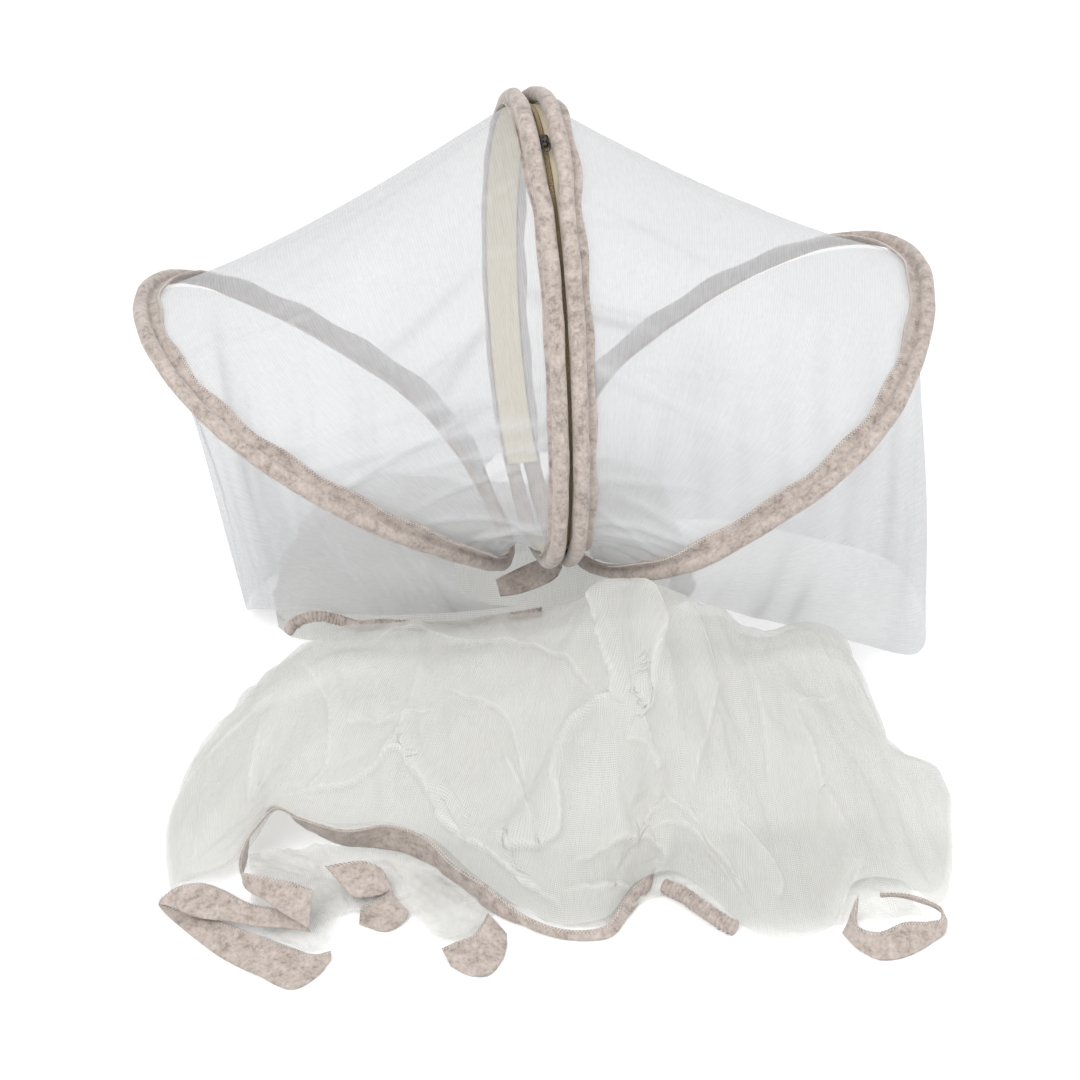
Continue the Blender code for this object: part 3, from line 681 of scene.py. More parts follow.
# Woven polyester zip tape: a fine twill, cream, with ribs about 0.8 mm apart along the tape. Its colour is painted
# darker in the grooves between the ribs, as painted shade, and also varies at random with wear.
def makeTape(name, look):
    material, tree = newMaterial(name)
    uv = addNode(tree, "UVMap", {}, {})
    place = addNode(tree, "TexCoord", {}, {})
    twill = {"Scale": 1 / look["rib"] / 3.14, "Distortion": 0.6, "bands_direction": "DIAGONAL"}
    ribs = addNode(tree, "TexWave", twill, {"Vector": uv.outputs["UV"]})
    wear = addNode(tree, "TexNoise", {"Scale": 60.0, "Detail": 3.0}, {"Vector": place.outputs["Object"]})
    # painted shade: the grooves between the ribs are darker, mixed with a random wear tone
    ribShadeAndWear = addNode(tree, "Mix", {"data_type": "FLOAT", 0: 0.5}, {2: ribs.outputs["Fac"], 3: wear.outputs["Fac"]})
    tint = mixedColour(tree, look["dark"], look["light"], ribShadeAndWear.outputs[0])
    bump = addNode(tree, "Bump", {"Strength": 0.4, "Distance": 0.0003}, {"Height": ribs.outputs["Fac"]})
    surface = addNode(
        tree,
        "BsdfPrincipled",
        {"Roughness": look["roughness"], "IOR": 1.5},
        {"Base Color": tint, "Normal": bump.outputs[0]},
    )
    addNode(tree, "OutputMaterial", {}, {"Surface": surface.outputs[0]})
    return material


# Zinc alloy plated in dark nickel: die cast and tumbled, so it is smooth with faint clouding and small rubs.
def makeNickel(name, look):
    material, tree = newMaterial(name)
    place = addNode(tree, "TexCoord", {}, {})
    cloud = addNode(tree, "TexNoise", {"Scale": 900.0, "Detail": 3.0}, {"Vector": place.outputs["Object"]})
    tint = mixedColour(tree, look["dark"], look["light"], cloud.outputs["Fac"])
    rough = addNode(tree, "MapRange", {"To Min": 0.22, "To Max": 0.42}, {"Value": cloud.outputs["Fac"]})
    bump = addNode(tree, "Bump", {"Strength": 0.1, "Distance": 0.0001}, {"Height": cloud.outputs["Fac"]})
    surface = addNode(
        tree,
        "BsdfPrincipled",
        {"Metallic": 1.0},
        {"Base Color": tint, "Roughness": rough.outputs[0], "Normal": bump.outputs[0]},
    )
    addNode(tree, "OutputMaterial", {}, {"Surface": surface.outputs[0]})
    return material


# The canopy and side skirts use a copy of the white net painted a greyer white than the heap's copy below. The
# grey is painted shade.
canopyNetShadedGrey = makeNet(
    "canopy knitted polyester net painted shade grey",
    {"thread": "#D3D4D6", "deep": "#C8C9CB", "meshSize": 0.0017, "threadCover": 0.50, "holeCover": 0.40,
     "gatherCover": 0.45, "streak": (60.0, 420.0, 1.0), "streakDepth": 0.05, "cloudScale": 9.0, "cloud": 0.03,
     "lightThrough": 0.3},
)
skirtNet = makeNet(
    "skirt knitted polyester net",
    {"thread": "#E3E4E3", "deep": "#DAD9D4", "meshSize": 0.0017, "threadCover": 0.46, "holeCover": 0.30,
     "gatherCover": 0.55, "streak": (600.0, 60.0, 1.0), "streakDepth": 0.03, "cloudScale": 14.0, "cloud": 0.05,
     "lightThrough": 0.45},
)
chenille = makeChenille(
    "mottled chenille binding",
    {"light": "#B8ADA7", "middle": "#A2978F", "dark": "#867C76", "fleck": 3.4, "patch": 11.0, "pile": 1.3},
)
whiteThread = makeThread("spun polyester thread", {"light": "#F2EFEB", "dark": "#CFC8C2", "twist": 0.9})
zipCloth = makeTape(
    "woven polyester zip tape", {"light": "#D8D0BA", "dark": "#BFB395", "rib": 0.0008, "roughness": 0.8}
)
# The coil's dark bands between its ribs are painted shade.
zipCoil = makeTape("nylon zip coil", {"light": "#CDBB98", "dark": "#8C7450", "rib": 0.0012, "roughness": 0.45})
darkNickel = makeNickel("dark nickel plated zinc", {"light": "#6E6A66", "dark": "#3A3836"})
print("materials made")


# Cloth that has more width than room buckles into folds
clothUsual = {"quality": 5, "stiffness": 8, "pin": 1.0, "hold": 0.012}


def crumple(grid, look, held):
    # held is 1 where the cloth keeps its place and near 0 where it may move
    rows, columns = grid.shape[:2]
    i, j = np.meshgrid(np.arange(rows - 1), np.arange(columns - 1), indexing="ij")
    a = (i * columns + j).ravel()
    mesh = bpy.data.meshes.new("crumple")
    quads = np.stack([a, a + 1, a + columns + 1, a + columns], axis=1)
    mesh.from_pydata((grid.reshape(-1, 3) * 0.001).tolist(), [], quads.tolist())
    cloth = bpy.data.objects.new("crumple", mesh)
    bpy.context.scene.collection.objects.link(cloth)
    group = cloth.vertex_groups.new(name="held")
    for index, weight in enumerate(held.ravel()):
        group.add([index], float(weight), "REPLACE")
    cloth.shape_key_add(name="hung", from_mix=False)
    flat = cloth.shape_key_add(name="flat", from_mix=False)
    middle = grid.reshape(-1, 3).mean(axis=0)
    wide = (middle + (grid.reshape(-1, 3) - middle) * np.array(look["fullness"])) * 0.001
    flat.data.foreach_set("co", wide.ravel())
    modifier = cloth.modifiers.new("cloth", "CLOTH")
    modifier.point_cache.frame_start = 1
    modifier.point_cache.frame_end = look["frames"] + 1
    modifier.collision_settings.use_collision = False
    modifier.collision_settings.use_self_collision = False
    settings = modifier.settings
    settings.quality = clothUsual["quality"]
    settings.mass = 0.05
    settings.tension_stiffness = clothUsual["stiffness"]
    settings.compression_stiffness = clothUsual["stiffness"]
    settings.shear_stiffness = 3
    settings.bending_stiffness = look["bend"]
    settings.air_damping = 2
    settings.vertex_group_mass = "held"
    settings.pin_stiffness = clothUsual["pin"]
    settings.rest_shape_key = flat
    settings.effector_weights.gravity = look["gravity"]
    scene = bpy.context.scene
    for number in range(1, look["frames"] + 1):
        scene.frame_set(number)
    graph = bpy.context.evaluated_depsgraph_get()
    done = cloth.evaluated_get(graph).to_mesh()
    co = np.empty(rows * columns * 3)
    done.vertices.foreach_get("co", co)
    bpy.data.objects.remove(cloth)
    scene.frame_set(1)
    moved = co.reshape(rows, columns, 3) * 1000 - grid
    far = np.linalg.norm(moved, axis=-1, keepdims=True)
    moved *= np.minimum(1.0, look["most"] / np.maximum(far, 1e-6))
    return grid + moved


# Hoops
def hoopRing(rows, lean):
    angle = math.radians(lean)
    alongWay = np.array((math.sin(angle), 0.0, math.cos(angle)))
    sideWay = np.array((math.cos(angle), 0.0, -math.sin(angle)))
    flat = through(rows, 240, closed=True)
    ring = np.array(sizes["foot"]) + flat[:, :1] * alongWay + flat[:, 1:2] * np.array((0.0, 1.0, 0.0))
    return ring + flat[:, 2:3] * sideWay


def ringFrames(ring, turn, toward):
    place = atTurn(ring, turn)
    along = unit(atTurn(ring, turn + 0.006) - atTurn(ring, turn - 0.006))
    net = unit(toward - (toward * along).sum(axis=1, keepdims=True) * along)
    out = np.cross(along, net)
    flip = np.sign(((place - ring.mean(axis=0)) * out).sum(axis=1, keepdims=True))
    return place, along, net, out * flip


def sleeveSections(place, net, out, turn, radius, look):
    # a round roll and, toward the net, the flat seam with its two layers, slightly puckered
    sections = []
    rolls = np.random.default_rng(look["seed"])
    pucker = np.convolve(rolls.normal(size=len(turn) + 8), np.ones(9) / 9, "valid") * look["pucker"]
    wave = np.convolve(rolls.normal(size=len(turn) + 24), np.hanning(25) / 12.5, "valid") * look["wave"]
    for k, t in enumerate(turn):
        swing = 2 * math.pi * t
        size = radius * (1 + 0.03 * math.sin(9 * swing + 1) + 0.03 * math.sin(23 * swing)) + pucker[k]
        nearFoot = min(t, 1 - t)
        open_ = min(1.0, max(0.08, (nearFoot - 0.05) / 0.07))
        width = look["flange"] * open_ * (1 + 0.14 * math.sin(17 * swing)) + wave[k] * 0.6 * open_
        lift = wave[k] * open_
        points = []
        edge = radius + width
        for x, y in (
            (edge, -radius + 0.9 + lift),
            (edge - 2.0, -radius + 0.7 + lift * 0.8),
            (radius + width * 0.5, -radius + 0.5 + lift * 0.4),
            (radius * 0.95, -radius + 0.5),
            (radius * 0.3, -size * 0.98),
        ):
            points.append((x, y))
        for angle in (-112, -132, -152, -172, 168, 148, 128, 108, 88, 68, 48, 28, 8, -8):
            a = math.radians(angle)
            crease = 1 + 0.02 * math.sin(5 * a + 31 * swing)
            points.append((size * crease * math.cos(a), size * crease * math.sin(a)))
        points.append((radius * 0.86, -radius * 0.42))
        points.append((radius * 1.02, -radius + 2.4))
        points.append((radius + width * 0.5, -radius + 2.6 + lift * 0.4))
        points.append((edge - 1.6, -radius + 2.5 + lift * 0.8))
        points.append((edge, -radius + 2.2 + lift))
        profile = np.array(points)
        sections.append(place[k] + profile[:, :1] * net[k] + profile[:, 1:] * out[k])
    return np.array(sections)


def rollSpread(turn):
    top = smoothStep((0.075 - np.abs(turn - 0.47)) / 0.03)
    return sizes["rollGap"] + sizes["rollTopSpread"] * top


leftRing = hoopRing(leftHoopRows, sizes["leftLean"])
rightRing = hoopRing(rightHoopRows, sizes["rightLean"])
centreRing = hoopRing(centreHoopRows, 0.0)
sleeves = {"sections": 420, "pucker": 0.22, "wave": 1.0}


def overlock(name, edgeLine, inner, lift, look):
    # zigzag of thread over a raw edge
    steps = len(edgeLine)
    which = np.arange(steps) % 2
    line = edgeLine + np.where(which[:, None] == 0, inner * look["depth"], inner * -0.3) + lift * look["proud"]
    return tube(name, threadSections(line, look["radius"], 4), whiteThread, closed=False)


stitching = {"hoopRound": 1300, "pitch": 1.5, "depth": 2.6, "proud": 0.5, "radius": 0.34}


def sleeveStitches(name, ring, toward, radius, flange, start=0.10, end=0.90):
    count = int(stitching["hoopRound"] * (end - start) / stitching["pitch"])
    turn = np.linspace(start, end, count)
    place, along, net, out = ringFrames(ring, turn, toward(turn))
    swing = 2 * math.pi * turn
    nearFoot = np.minimum(turn, 1 - turn)
    open_ = np.clip((nearFoot - 0.05) / 0.07, 0.08, 1.0)
    width = flange * open_ * (1 + 0.14 * np.sin(17 * swing))
    edge = place + net * (radius + width)[:, None] + out * (2.6 - radius)
    return overlock(name, edge, -net, out, stitching)


turn = np.arange(sleeves["sections"]) / sleeves["sections"]
for side, ring, seed in (("left", leftRing, 3), ("right", rightRing, 8)):
    toward = atTurn(centreRing, turn) - atTurn(ring, turn)
    place, _, net, out = ringFrames(ring, turn, toward)
    look = dict(sleeves, flange=sizes["flange"], seed=seed)
    sections = sleeveSections(place, net, out, turn, sizes["hoopRoll"], look)
    sleeve = tube(side + "HoopSleeve", sections, chenille, closed=True)
    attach(sleeve, "root")
    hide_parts(side + "_hoop_sleeve")
    stitches = sleeveStitches(
        side + "HoopOverlock",
        ring,
        lambda t, r=ring: atTurn(centreRing, t) - atTurn(r, t),
        sizes["hoopRoll"],
        sizes["flange"],
    )
    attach(stitches, "root")
sideWay = np.tile(np.array((1.0, 0.0, 0.0)), (len(turn), 1))
place, _, side, out = ringFrames(centreRing, turn, sideWay)
for name, way, flange, seed in (("left", -1, 3.0, 5), ("right", 1, 8.0, 6)):
    look = dict(sleeves, flange=flange, seed=seed)
    sections = sleeveSections(
        place + way * rollSpread(turn)[:, None] * side, way * side, out, turn, sizes["zipRoll"], look
    )
    sleeve = tube(name + "ZipSleeve", sections, chenille, closed=True)
    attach(sleeve, "root")
    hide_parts("zip_sleeve_" + name)
print("sleeves made")


# Zip
zipLook = {"start": 0.06, "end": 0.94, "length": 1260, "coilPitch": 1.6, "coilWidth": 2.4, "coilSteps": 6}
turn = np.linspace(zipLook["start"], zipLook["end"], 300)
place, _, side, out = ringFrames(centreRing, turn, np.tile(np.array((1.0, 0.0, 0.0)), (len(turn), 1)))
under = -sizes["zipRoll"] - 1.0
half = sizes["tapeHalf"]
rows = []
for x in np.linspace(-half, half, 13):
    rows.append((x, under - 0.1 - 0.25 * math.cos(x * 0.9)))
for x in np.linspace(half, -half, 13):
    rows.append((x, under - 1.0 - 0.05 * math.cos(x)))
profile = np.array(rows)
sections = place[:, None] + profile[None, :, :1] * side[:, None] + profile[None, :, 1:] * out[:, None]
tape = tube("zipTape", sections, zipCloth, closed=False)
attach(tape, "root")
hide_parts("zip_tape")
count = int(zipLook["length"] / zipLook["coilPitch"]) * zipLook["coilSteps"]
turn = np.linspace(zipLook["start"] + 0.004, zipLook["end"] - 0.004, count)
place, _, side, out = ringFrames(centreRing, turn, np.tile(np.array((1.0, 0.0, 0.0)), (len(turn), 1)))
wind = 2 * math.pi * np.arange(count) / zipLook["coilSteps"]
sideways = side * (np.cos(wind) * zipLook["coilWidth"])[:, None]
line = place + sideways + out * (under + 0.9 + np.sin(wind) * 0.5)[:, None]
coil = tube("zipCoil", threadSections(line, 0.42, 4), zipCoil, closed=False)
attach(coil, "root")


def boxSweep(name, rows, frameAt, material):
    # rounded body from rows of: place along, half width, low side, high side
    centre, along, across, outward = frameAt
    sections = []
    for way, halfWidth, low, high in rows:
        corners = []
        middle = (low + high) / 2
        for k in range(16):
            a = 2 * math.pi * (k + 0.5) / 16
            x = halfWidth * math.copysign(abs(math.cos(a)) ** 0.6, math.cos(a))
            y = middle + (high - low) / 2 * math.copysign(abs(math.sin(a)) ** 0.6, math.sin(a))
            corners.append(centre - along * way + across * x + outward * y)
        sections.append(corners)
    return tube(name, np.array(sections), material, closed=False)


sliderLook = {"turn": 0.452}
frameAt = [v[0] for v in ringFrames(centreRing, np.array((sliderLook["turn"],)), np.array(((1.0, 0.0, 0.0),)))]
sliderRows = through(
    (
        (-7.0, 2.6, -4.4, -3.4),
        (-5.8, 3.8, -5.4, -2.2),
        (0.0, 4.2, -5.6, -1.7),
        (4.6, 3.4, -5.4, -1.9),
        (6.5, 2.4, -4.8, -3.0),
    ),
    17,
)
slider = boxSweep("zipSlider", sliderRows, frameAt, darkNickel)
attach(slider, "root")
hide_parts("zip_slider")
centre, along, across, outward = frameAt
# The pull is a long ring with a bridge over it.
theta = np.linspace(0, 2 * math.pi, 29)[:-1]
loop = centre - along * (9.5 + 8.0 * np.cos(theta))[:, None] + across * (3.4 * np.sin(theta))[:, None]
loop = loop + outward * (0.6 + 0.5 * np.cos(theta))[:, None]
wrapped = np.vstack([loop, loop[:1]])
pull = tube("zipPull", threadSections(wrapped, 0.75, 8)[:-1], darkNickel, closed=True)
bridgeRows = through(
    (
        (-4.0, 1.0, -1.9, -1.2),
        (-2.2, 1.1, -1.2, 0.6),
        (0.0, 1.1, -0.2, 1.1),
        (2.2, 1.1, -1.2, 0.6),
        (4.0, 1.0, -1.9, -1.2),
    ),
    13,
)
bridge = boxSweep("zipBridge", bridgeRows, frameAt, darkNickel)
for piece in (pull, bridge):
    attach(piece, "root")
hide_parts("zip_pull")
print("zip made")


# Canopy: two stretched panels with tension folds that run out from the feet
canopyLook = {"start": 0.052, "end": 0.93, "turns": 231, "spans": 71, "creaseRise": 2.4}


def canopyGrid(hoop, way, look, seed):
    turn = np.linspace(look["start"], look["end"], look["turns"])
    toward = atTurn(centreRing, turn) - atTurn(hoop, turn)
    place, _, net, out = ringFrames(hoop, turn, toward)
    outer = place + net * 1.0 - out * (sizes["hoopRoll"] + sizes["seamDrop"] * 0.6)
    middle, _, side, up = ringFrames(centreRing, turn, np.tile(np.array((1.0, 0.0, 0.0)), (len(turn), 1)))
    inner = middle + way * (sizes["tapeHalf"] + 1.6) * side - up * (sizes["zipRoll"] + sizes["seamDrop"])
    share = np.linspace(0.0, 1.0, look["spans"])[:, None, None]
    grid = outer * (1 - share) + inner * share
    inward = unit(out * (1 - share) + up * share)
    s = share[..., 0]
    across = np.broadcast_to(turn, (look["spans"], len(turn)))
    bulge = 4 * s * (1 - s)
    crease = 2.2 * np.sin(across * 58 + s * 5)
    grid = grid - inward * ((sizes["sag"] + crease) * bulge)[..., None]
    # fine tension folds along the span, closer together toward the feet
    near = np.minimum(across - look["start"], look["end"] - across) / 0.38
    tight = 1 - smoothStep(near * 1.15)
    folds = np.zeros_like(across)
    gather = np.zeros_like(across)
    rolls = np.random.default_rng(seed)
    for _ in range(26):
        at = look["start"] + rolls.uniform(0, 1) ** 1.8 * 0.26
        if rolls.uniform() < 0.4:
            at = look["end"] - rolls.uniform(0, 1) ** 1.6 * 0.22
        slant = rolls.uniform(-0.05, 0.05)
        width = rolls.uniform(0.0028, 0.007)
        fade = smoothStep((1 - np.abs(s - rolls.uniform(0.2, 0.8)) * rolls.uniform(1.1, 2.0)) * 1.4)
        fold = np.exp(-(((across - at - slant * (s - 0.5)) / width) ** 2)) * fade
        folds += fold * rolls.uniform(0.6, 1.5)
        gather += fold * 0.5
    for _ in range(12):
        at = rolls.uniform(0.25, 0.8)
        slant = rolls.uniform(-0.10, 0.10)
        width = rolls.uniform(0.0025, 0.006)
        fade = smoothStep((1 - np.abs(s - rolls.uniform(0.0, 1.0)) * rolls.uniform(1.4, 2.6)) * 1.4)
        fold = np.exp(-(((across - at - slant * (s - 0.5)) / width) ** 2)) * fade
        folds += fold * 0.45
        gather += fold * 0.16
    rim = smoothStep(np.minimum(s, 1 - s) * 14)
    grid = grid + inward * (folds * look["creaseRise"] * rim)[..., None]
    gather = gather + 0.35 * tight**2
    return grid, gather


for side, ring, way, seed in (("left", leftRing, -1, 21), ("right", rightRing, 1, 22)):
    grid, gather = canopyGrid(ring, way, canopyLook, seed)
    panel = netSheet(side + "Canopy", grid, canopyNetShadedGrey, gather)
    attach(panel, "root")
    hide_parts("canopy_net_" + side)
print("canopy made")


# Side skirts
skirtLook = {"turns": 221, "drops": 81}


def smoothAt(table, turn):
    fine = through(table, 400)
    order = np.maximum.accumulate(fine[:, 0])
    return np.stack([np.interp(turn, order, fine[:, k]) for k in (1, 2, 3, 4)], axis=1)


# The skirts run on round the back until they meet. Columns as in the rows above.
leftBackRows = ((0.84, -66, 212, 0.7, 1.0), (0.885, 6, 216, 0.7, 1.0))
rightBackRows = ((0.84, 70, 205, 0.7, 1.0), (0.885, -4, 202, 0.7, 1.0))


def skirtGrid(hoop, rows, folds, look, seed):
    table = np.array(rows, float)
    turn = np.linspace(table[0, 0], table[-1, 0], look["turns"])
    toward = atTurn(centreRing, turn) - atTurn(hoop, turn)
    place, _, net, out = ringFrames(hoop, turn, toward)
    low = np.clip((0.20 - turn) / 0.045, 0.0, 1.0)[:, None]
    under = sizes["hoopRoll"] + sizes["seamDrop"] + sizes["skirtDrop"]
    top = place - net * (1.6 + 8.0 * low) - out * under * (1 - 0.5 * low)
    bottom = smoothAt(table, turn)
    share = np.linspace(0.0, 1.0, look["drops"])[:, None]
    lean = share ** bottom[:, 3]
    grid = np.empty((look["drops"], look["turns"], 3))
    for k in range(3):
        amount = lean if k < 2 else share
        grid[..., k] = top[:, k] * (1 - amount) + bottom[:, k] * amount
    outward = grid - grid.mean(axis=(0, 1))
    outward[..., 2] = 0.0
    outward = unit(outward)
    depth = np.zeros((look["drops"], look["turns"]))
    for centre, width, height in folds:
        depth += height * np.exp(-(((turn - centre) / width) ** 2))
    swell = np.sin(np.pi * share) ** 1.3
    grid = grid + outward * (depth * swell)[..., None]
    # soft folds that hang from the seam and open out
    rolls = np.random.default_rng(seed)
    gather = np.zeros_like(depth)
    fine = np.zeros_like(depth)
    for _ in range(44):
        at = rolls.uniform(table[0, 0], table[-1, 0])
        width = rolls.uniform(0.003, 0.010)
        slant = rolls.uniform(-0.03, 0.03)
        start = rolls.uniform(-0.1, 0.5)
        fade = smoothStep((share - start) * 2.4) * smoothStep((1.25 - share) * 3)
        fold = np.exp(-(((turn[None, :] - at - slant * share) / width) ** 2)) * fade
        fine += fold * rolls.uniform(-1.6, 2.8)
        gather += fold * rolls.uniform(0.1, 0.5)
    grid = grid + outward * (fine * np.sin(np.pi * np.clip(share * 0.9 + 0.04, 0, 1)) ** 0.6)[..., None]
    return grid, gather


for side, ring, rows, folds, flat, seed in (
    ("left", leftRing, leftSkirtRows + leftBackRows, leftSkirtFolds, (0.80, 0.28), 31),
    ("right", rightRing, rightSkirtRows + rightBackRows, rightSkirtFolds, (0.86, 0.32), 32),
):
    grid, gather = skirtGrid(ring, rows, folds, skirtLook, seed)
    skirt = netSheet(side + "Skirt", grid, canopyNetShadedGrey, gather * 0.8)
    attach(skirt, "root")
    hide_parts("skirt_net_" + side)
print("side skirts made")


# Front skirt: a heap of folded net. Each fold has its rise, its soft side's width (its sign says which
# side that is) and the points of its edge in plan.
frontEdges = (
    (8, 22, ((-289, -298), (-260, -298), (-206, -289), (-180, -267), (-156, -305), (-141, -338), (-95, -394), (-53, -440))),
    (10, 24, ((-106, -356), (-81, -383), (-52, -383), (-38, -334), (-24, -306), (20, -296))),
    (10, 20, ((19, -185), (17, -208), (21, -251), (17, -293), (-9, -301))),
    (9, -20, ((51, -202), (68, -219), (67, -269), (60, -291), (39, -310), (52, -337))),
    (3, 14, ((-226, -247), (-188, -239), (-136, -233))),
    (4, 16, ((-125, -214), (-99, -242), (-74, -266), (-68, -322))),
    (4, 18, ((-194, -148), (-145, -140), (-77, -175), (-29, -212), (12, -286))),
    (6, 12, ((-46, -409), (-3, -396), (29, -381), (47, -386), (11, -416), (-54, -426))),
    (3, 18, ((-290, -203), (-310, -265), (-316, -290))),
    (3, 20, ((-340, -197), (-361, -283), (-370, -328))),
    (4, -14, ((-80, -288), (-68, -355), (-69, -374))),
    (4, 10, ((203, -258), (224, -246), (248, -239))),
    (5, 16, ((51, -347), (78, -373), (103, -417), (109, -443))),
    (4, 12, ((53, -348), (38, -360), (10, -391))),
    (3, 12, ((21, -330), (43, -332), (51, -344))),
    (4, -14, ((117, -382), (133, -413), (144, -441), (135, -458))),
    (4, 12, ((31, -372), (73, -378), (95, -411), (103, -440))),
    (5, -22, ((201, -258), (204, -314), (207, -367), (215, -410))),
    (4, -14, ((220, -433), (207, -452), (180, -480))),
    (3, 20, ((-254, -163), (-232, -227), (-246, -277), (-270, -304))),
    (3, -18, ((108, -207), (122, -241), (99, -317), (78, -356))),
    (3, 18, ((164, -204), (162, -284), (154, -351))),
    (3, 18, ((-143, -185), (-170, -244), (-202, -288))),
)
frontLook = {
    "across": 190,
    "falls": 96,
    "cloth": {"frames": 16, "fullness": (1.32, 1.08, 1.08), "most": 14.0, "gravity": 0.05, "bend": 0.03},
}


def foldHeight(line, folds):
    height = np.zeros(len(line))
    for startX, startY, endX, endY, rise, halfWidth in folds:
        way = np.array((endX - startX, endY - startY), float)
        length = np.linalg.norm(way)
        way /= length
        offset = line[:, :2] - np.array((startX, startY))
        along = np.clip(offset @ way, 0, length)
        apart = np.linalg.norm(offset - along[:, None] * way, axis=1)
        height += rise * np.exp(-((apart / halfWidth) ** 2))
    return height


def frontGrid(acrossCount, fallCount, shrink):
    rows = through(frontSkirtRows, acrossCount)
    crest = rows[:, 0:3].copy()
    billow = rows[:, 3:4]
    edge = rows[:, 4:7].copy()
    crest[:, 2] *= 1 - shrink
    edge[:, 2] = np.maximum(edge[:, 2] - 60 * shrink, 1.2)
    edge[:, :2] = crest[:, :2] + (edge[:, :2] - crest[:, :2]) * (1 - 0.25 * shrink)
    grid = []
    for back, drop in ((24, 0.50), (17, 0.22), (9, 0.06)):
        lower = crest.copy()
        lower[:, 1] += back * np.minimum(1.0, crest[:, 2] / 60)
        lower[:, 2] = np.maximum(2.0, crest[:, 2] * (1 - drop))
        grid.append(lower)
    across = np.linspace(0.0, 1.0, acrossCount)
    for t in np.linspace(0.0, 1.0, fallCount):
        line = crest * (1 - t) + edge * t
        line[:, 2] += billow[:, 0] * math.sin(math.pi * t**0.8) * (1 - shrink)
        line[:, 0] -= 34 * math.sin(math.pi * t) * np.exp(-((across / 0.1) ** 2))
        step = min(1.0, max(0.0, (t - 0.40) / 0.10)) * min(1.0, max(0.0, (1.15 - t) / 0.5))
        line[:, 0] += 40 * step * np.exp(-(((1 - across) / 0.06) ** 2))
        line[:, 2] += foldHeight(line, frontFoldRows) * math.sin(math.pi * t) ** 0.7
        line[:, 2] = np.maximum(line[:, 2], 0.7)
        grid.append(line)
    return np.array(grid)


def foldedEdges(grid, edges, sharp):
    # an edge rises steeply on one side and runs out softly on the other, and its doubled net is denser
    rise = np.zeros(grid.shape[:2])
    dense = np.zeros(grid.shape[:2])
    plan = grid[..., :2]
    for height, soft, points in edges:
        line = through(points, 60)
        away = np.full(grid.shape[:2], 1e9)
        sideOf = np.zeros(grid.shape[:2])
        shareOf = np.zeros(grid.shape[:2])
        for k in range(len(line) - 1):
            way = line[k + 1] - line[k]
            length = np.linalg.norm(way)
            way = way / length
            offset = plan - line[k]
            along = np.clip(offset @ way, 0, length)
            apart = np.linalg.norm(offset - along[..., None] * way, axis=-1)
            nearer = apart < away
            away = np.where(nearer, apart, away)
            sideOf = np.where(nearer, np.sign(way[0] * offset[..., 1] - way[1] * offset[..., 0]), sideOf)
            shareOf = np.where(nearer, (k + along / length) / (len(line) - 1), shareOf)
        fade = smoothStep(np.minimum(shareOf, 1 - shareOf) * 6 + 0.15)
        width = np.where(sideOf * math.copysign(1, soft) > 0, abs(soft), sharp)
        rise += height * np.exp(-((away / width) ** 2)) * fade
        line = np.exp(-((away / (sharp * 0.6)) ** 2)) * fade * min(0.7, 0.14 + height * 0.06)
        flap = 0.24 * np.exp(-((away / width) ** 2)) * fade * (sideOf * math.copysign(1, soft) > 0)
        dense = np.maximum(dense, line + flap)
    return rise, dense


def heapLayer(grid, look, seed):
    # starts the folds with a little unevenness, then lets the cloth buckle
    normals = gridNormals(grid)
    uneven = ripple(grid, 60, seed) * 2.6 + ripple(grid * np.array((1.0, 0.35, 0.35)), 26, seed + 1) * 2.2
    rows, columns = grid.shape[:2]
    i = np.minimum(np.arange(rows), rows - 1 - np.arange(rows))[:, None]
    j = np.minimum(np.arange(columns), columns - 1 - np.arange(columns))[None, :]
    rim = smoothStep(np.minimum(i, j) / 7)
    grid = grid + normals * (uneven * rim)[..., None]
    held = 1 - rim * (1 - clothUsual["hold"])
    grid = crumple(grid, look, held)
    grid = refine(grid)
    gather = np.clip(ridges(grid) * 26 - 0.15, 0, 1.2)
    return grid, gather


grid = frontGrid(frontLook["across"], frontLook["falls"], 0.0)
outer, gather = heapLayer(grid, frontLook["cloth"], 41)
rise, dense = foldedEdges(outer, frontEdges, 2.6)
i = np.minimum(np.arange(len(outer)), len(outer) - 1 - np.arange(len(outer)))[:, None]
normals = gridNormals(outer)
outer = outer + normals * np.sign(normals[..., 2:].mean()) * (rise * smoothStep(i / 8))[..., None]
gather = np.clip(gather * 0.5 + dense, 0, 1)
front = netSheet("frontSkirt", outer, skirtNet, gather)
inner = frontGrid(110, 60, 0.09)
inner, gather = heapLayer(inner, dict(frontLook["cloth"], fullness=(1.45, 1.2, 1.2), most=20.0, bend=0.01), 57)
under = netSheet("frontSkirtUnder", inner, skirtNet, gather)
deep = frontGrid(90, 50, 0.28)
deep, gather = heapLayer(deep, dict(frontLook["cloth"], fullness=(1.5, 1.25, 1.25), most=24.0, bend=0.01), 73)
deepest = netSheet("frontSkirtDeep", deep, skirtNet, gather)
for piece in (front, under, deepest):
    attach(piece, "root")
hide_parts("skirt_net_front")  # the hems that go with it come further down
print("front skirt made")


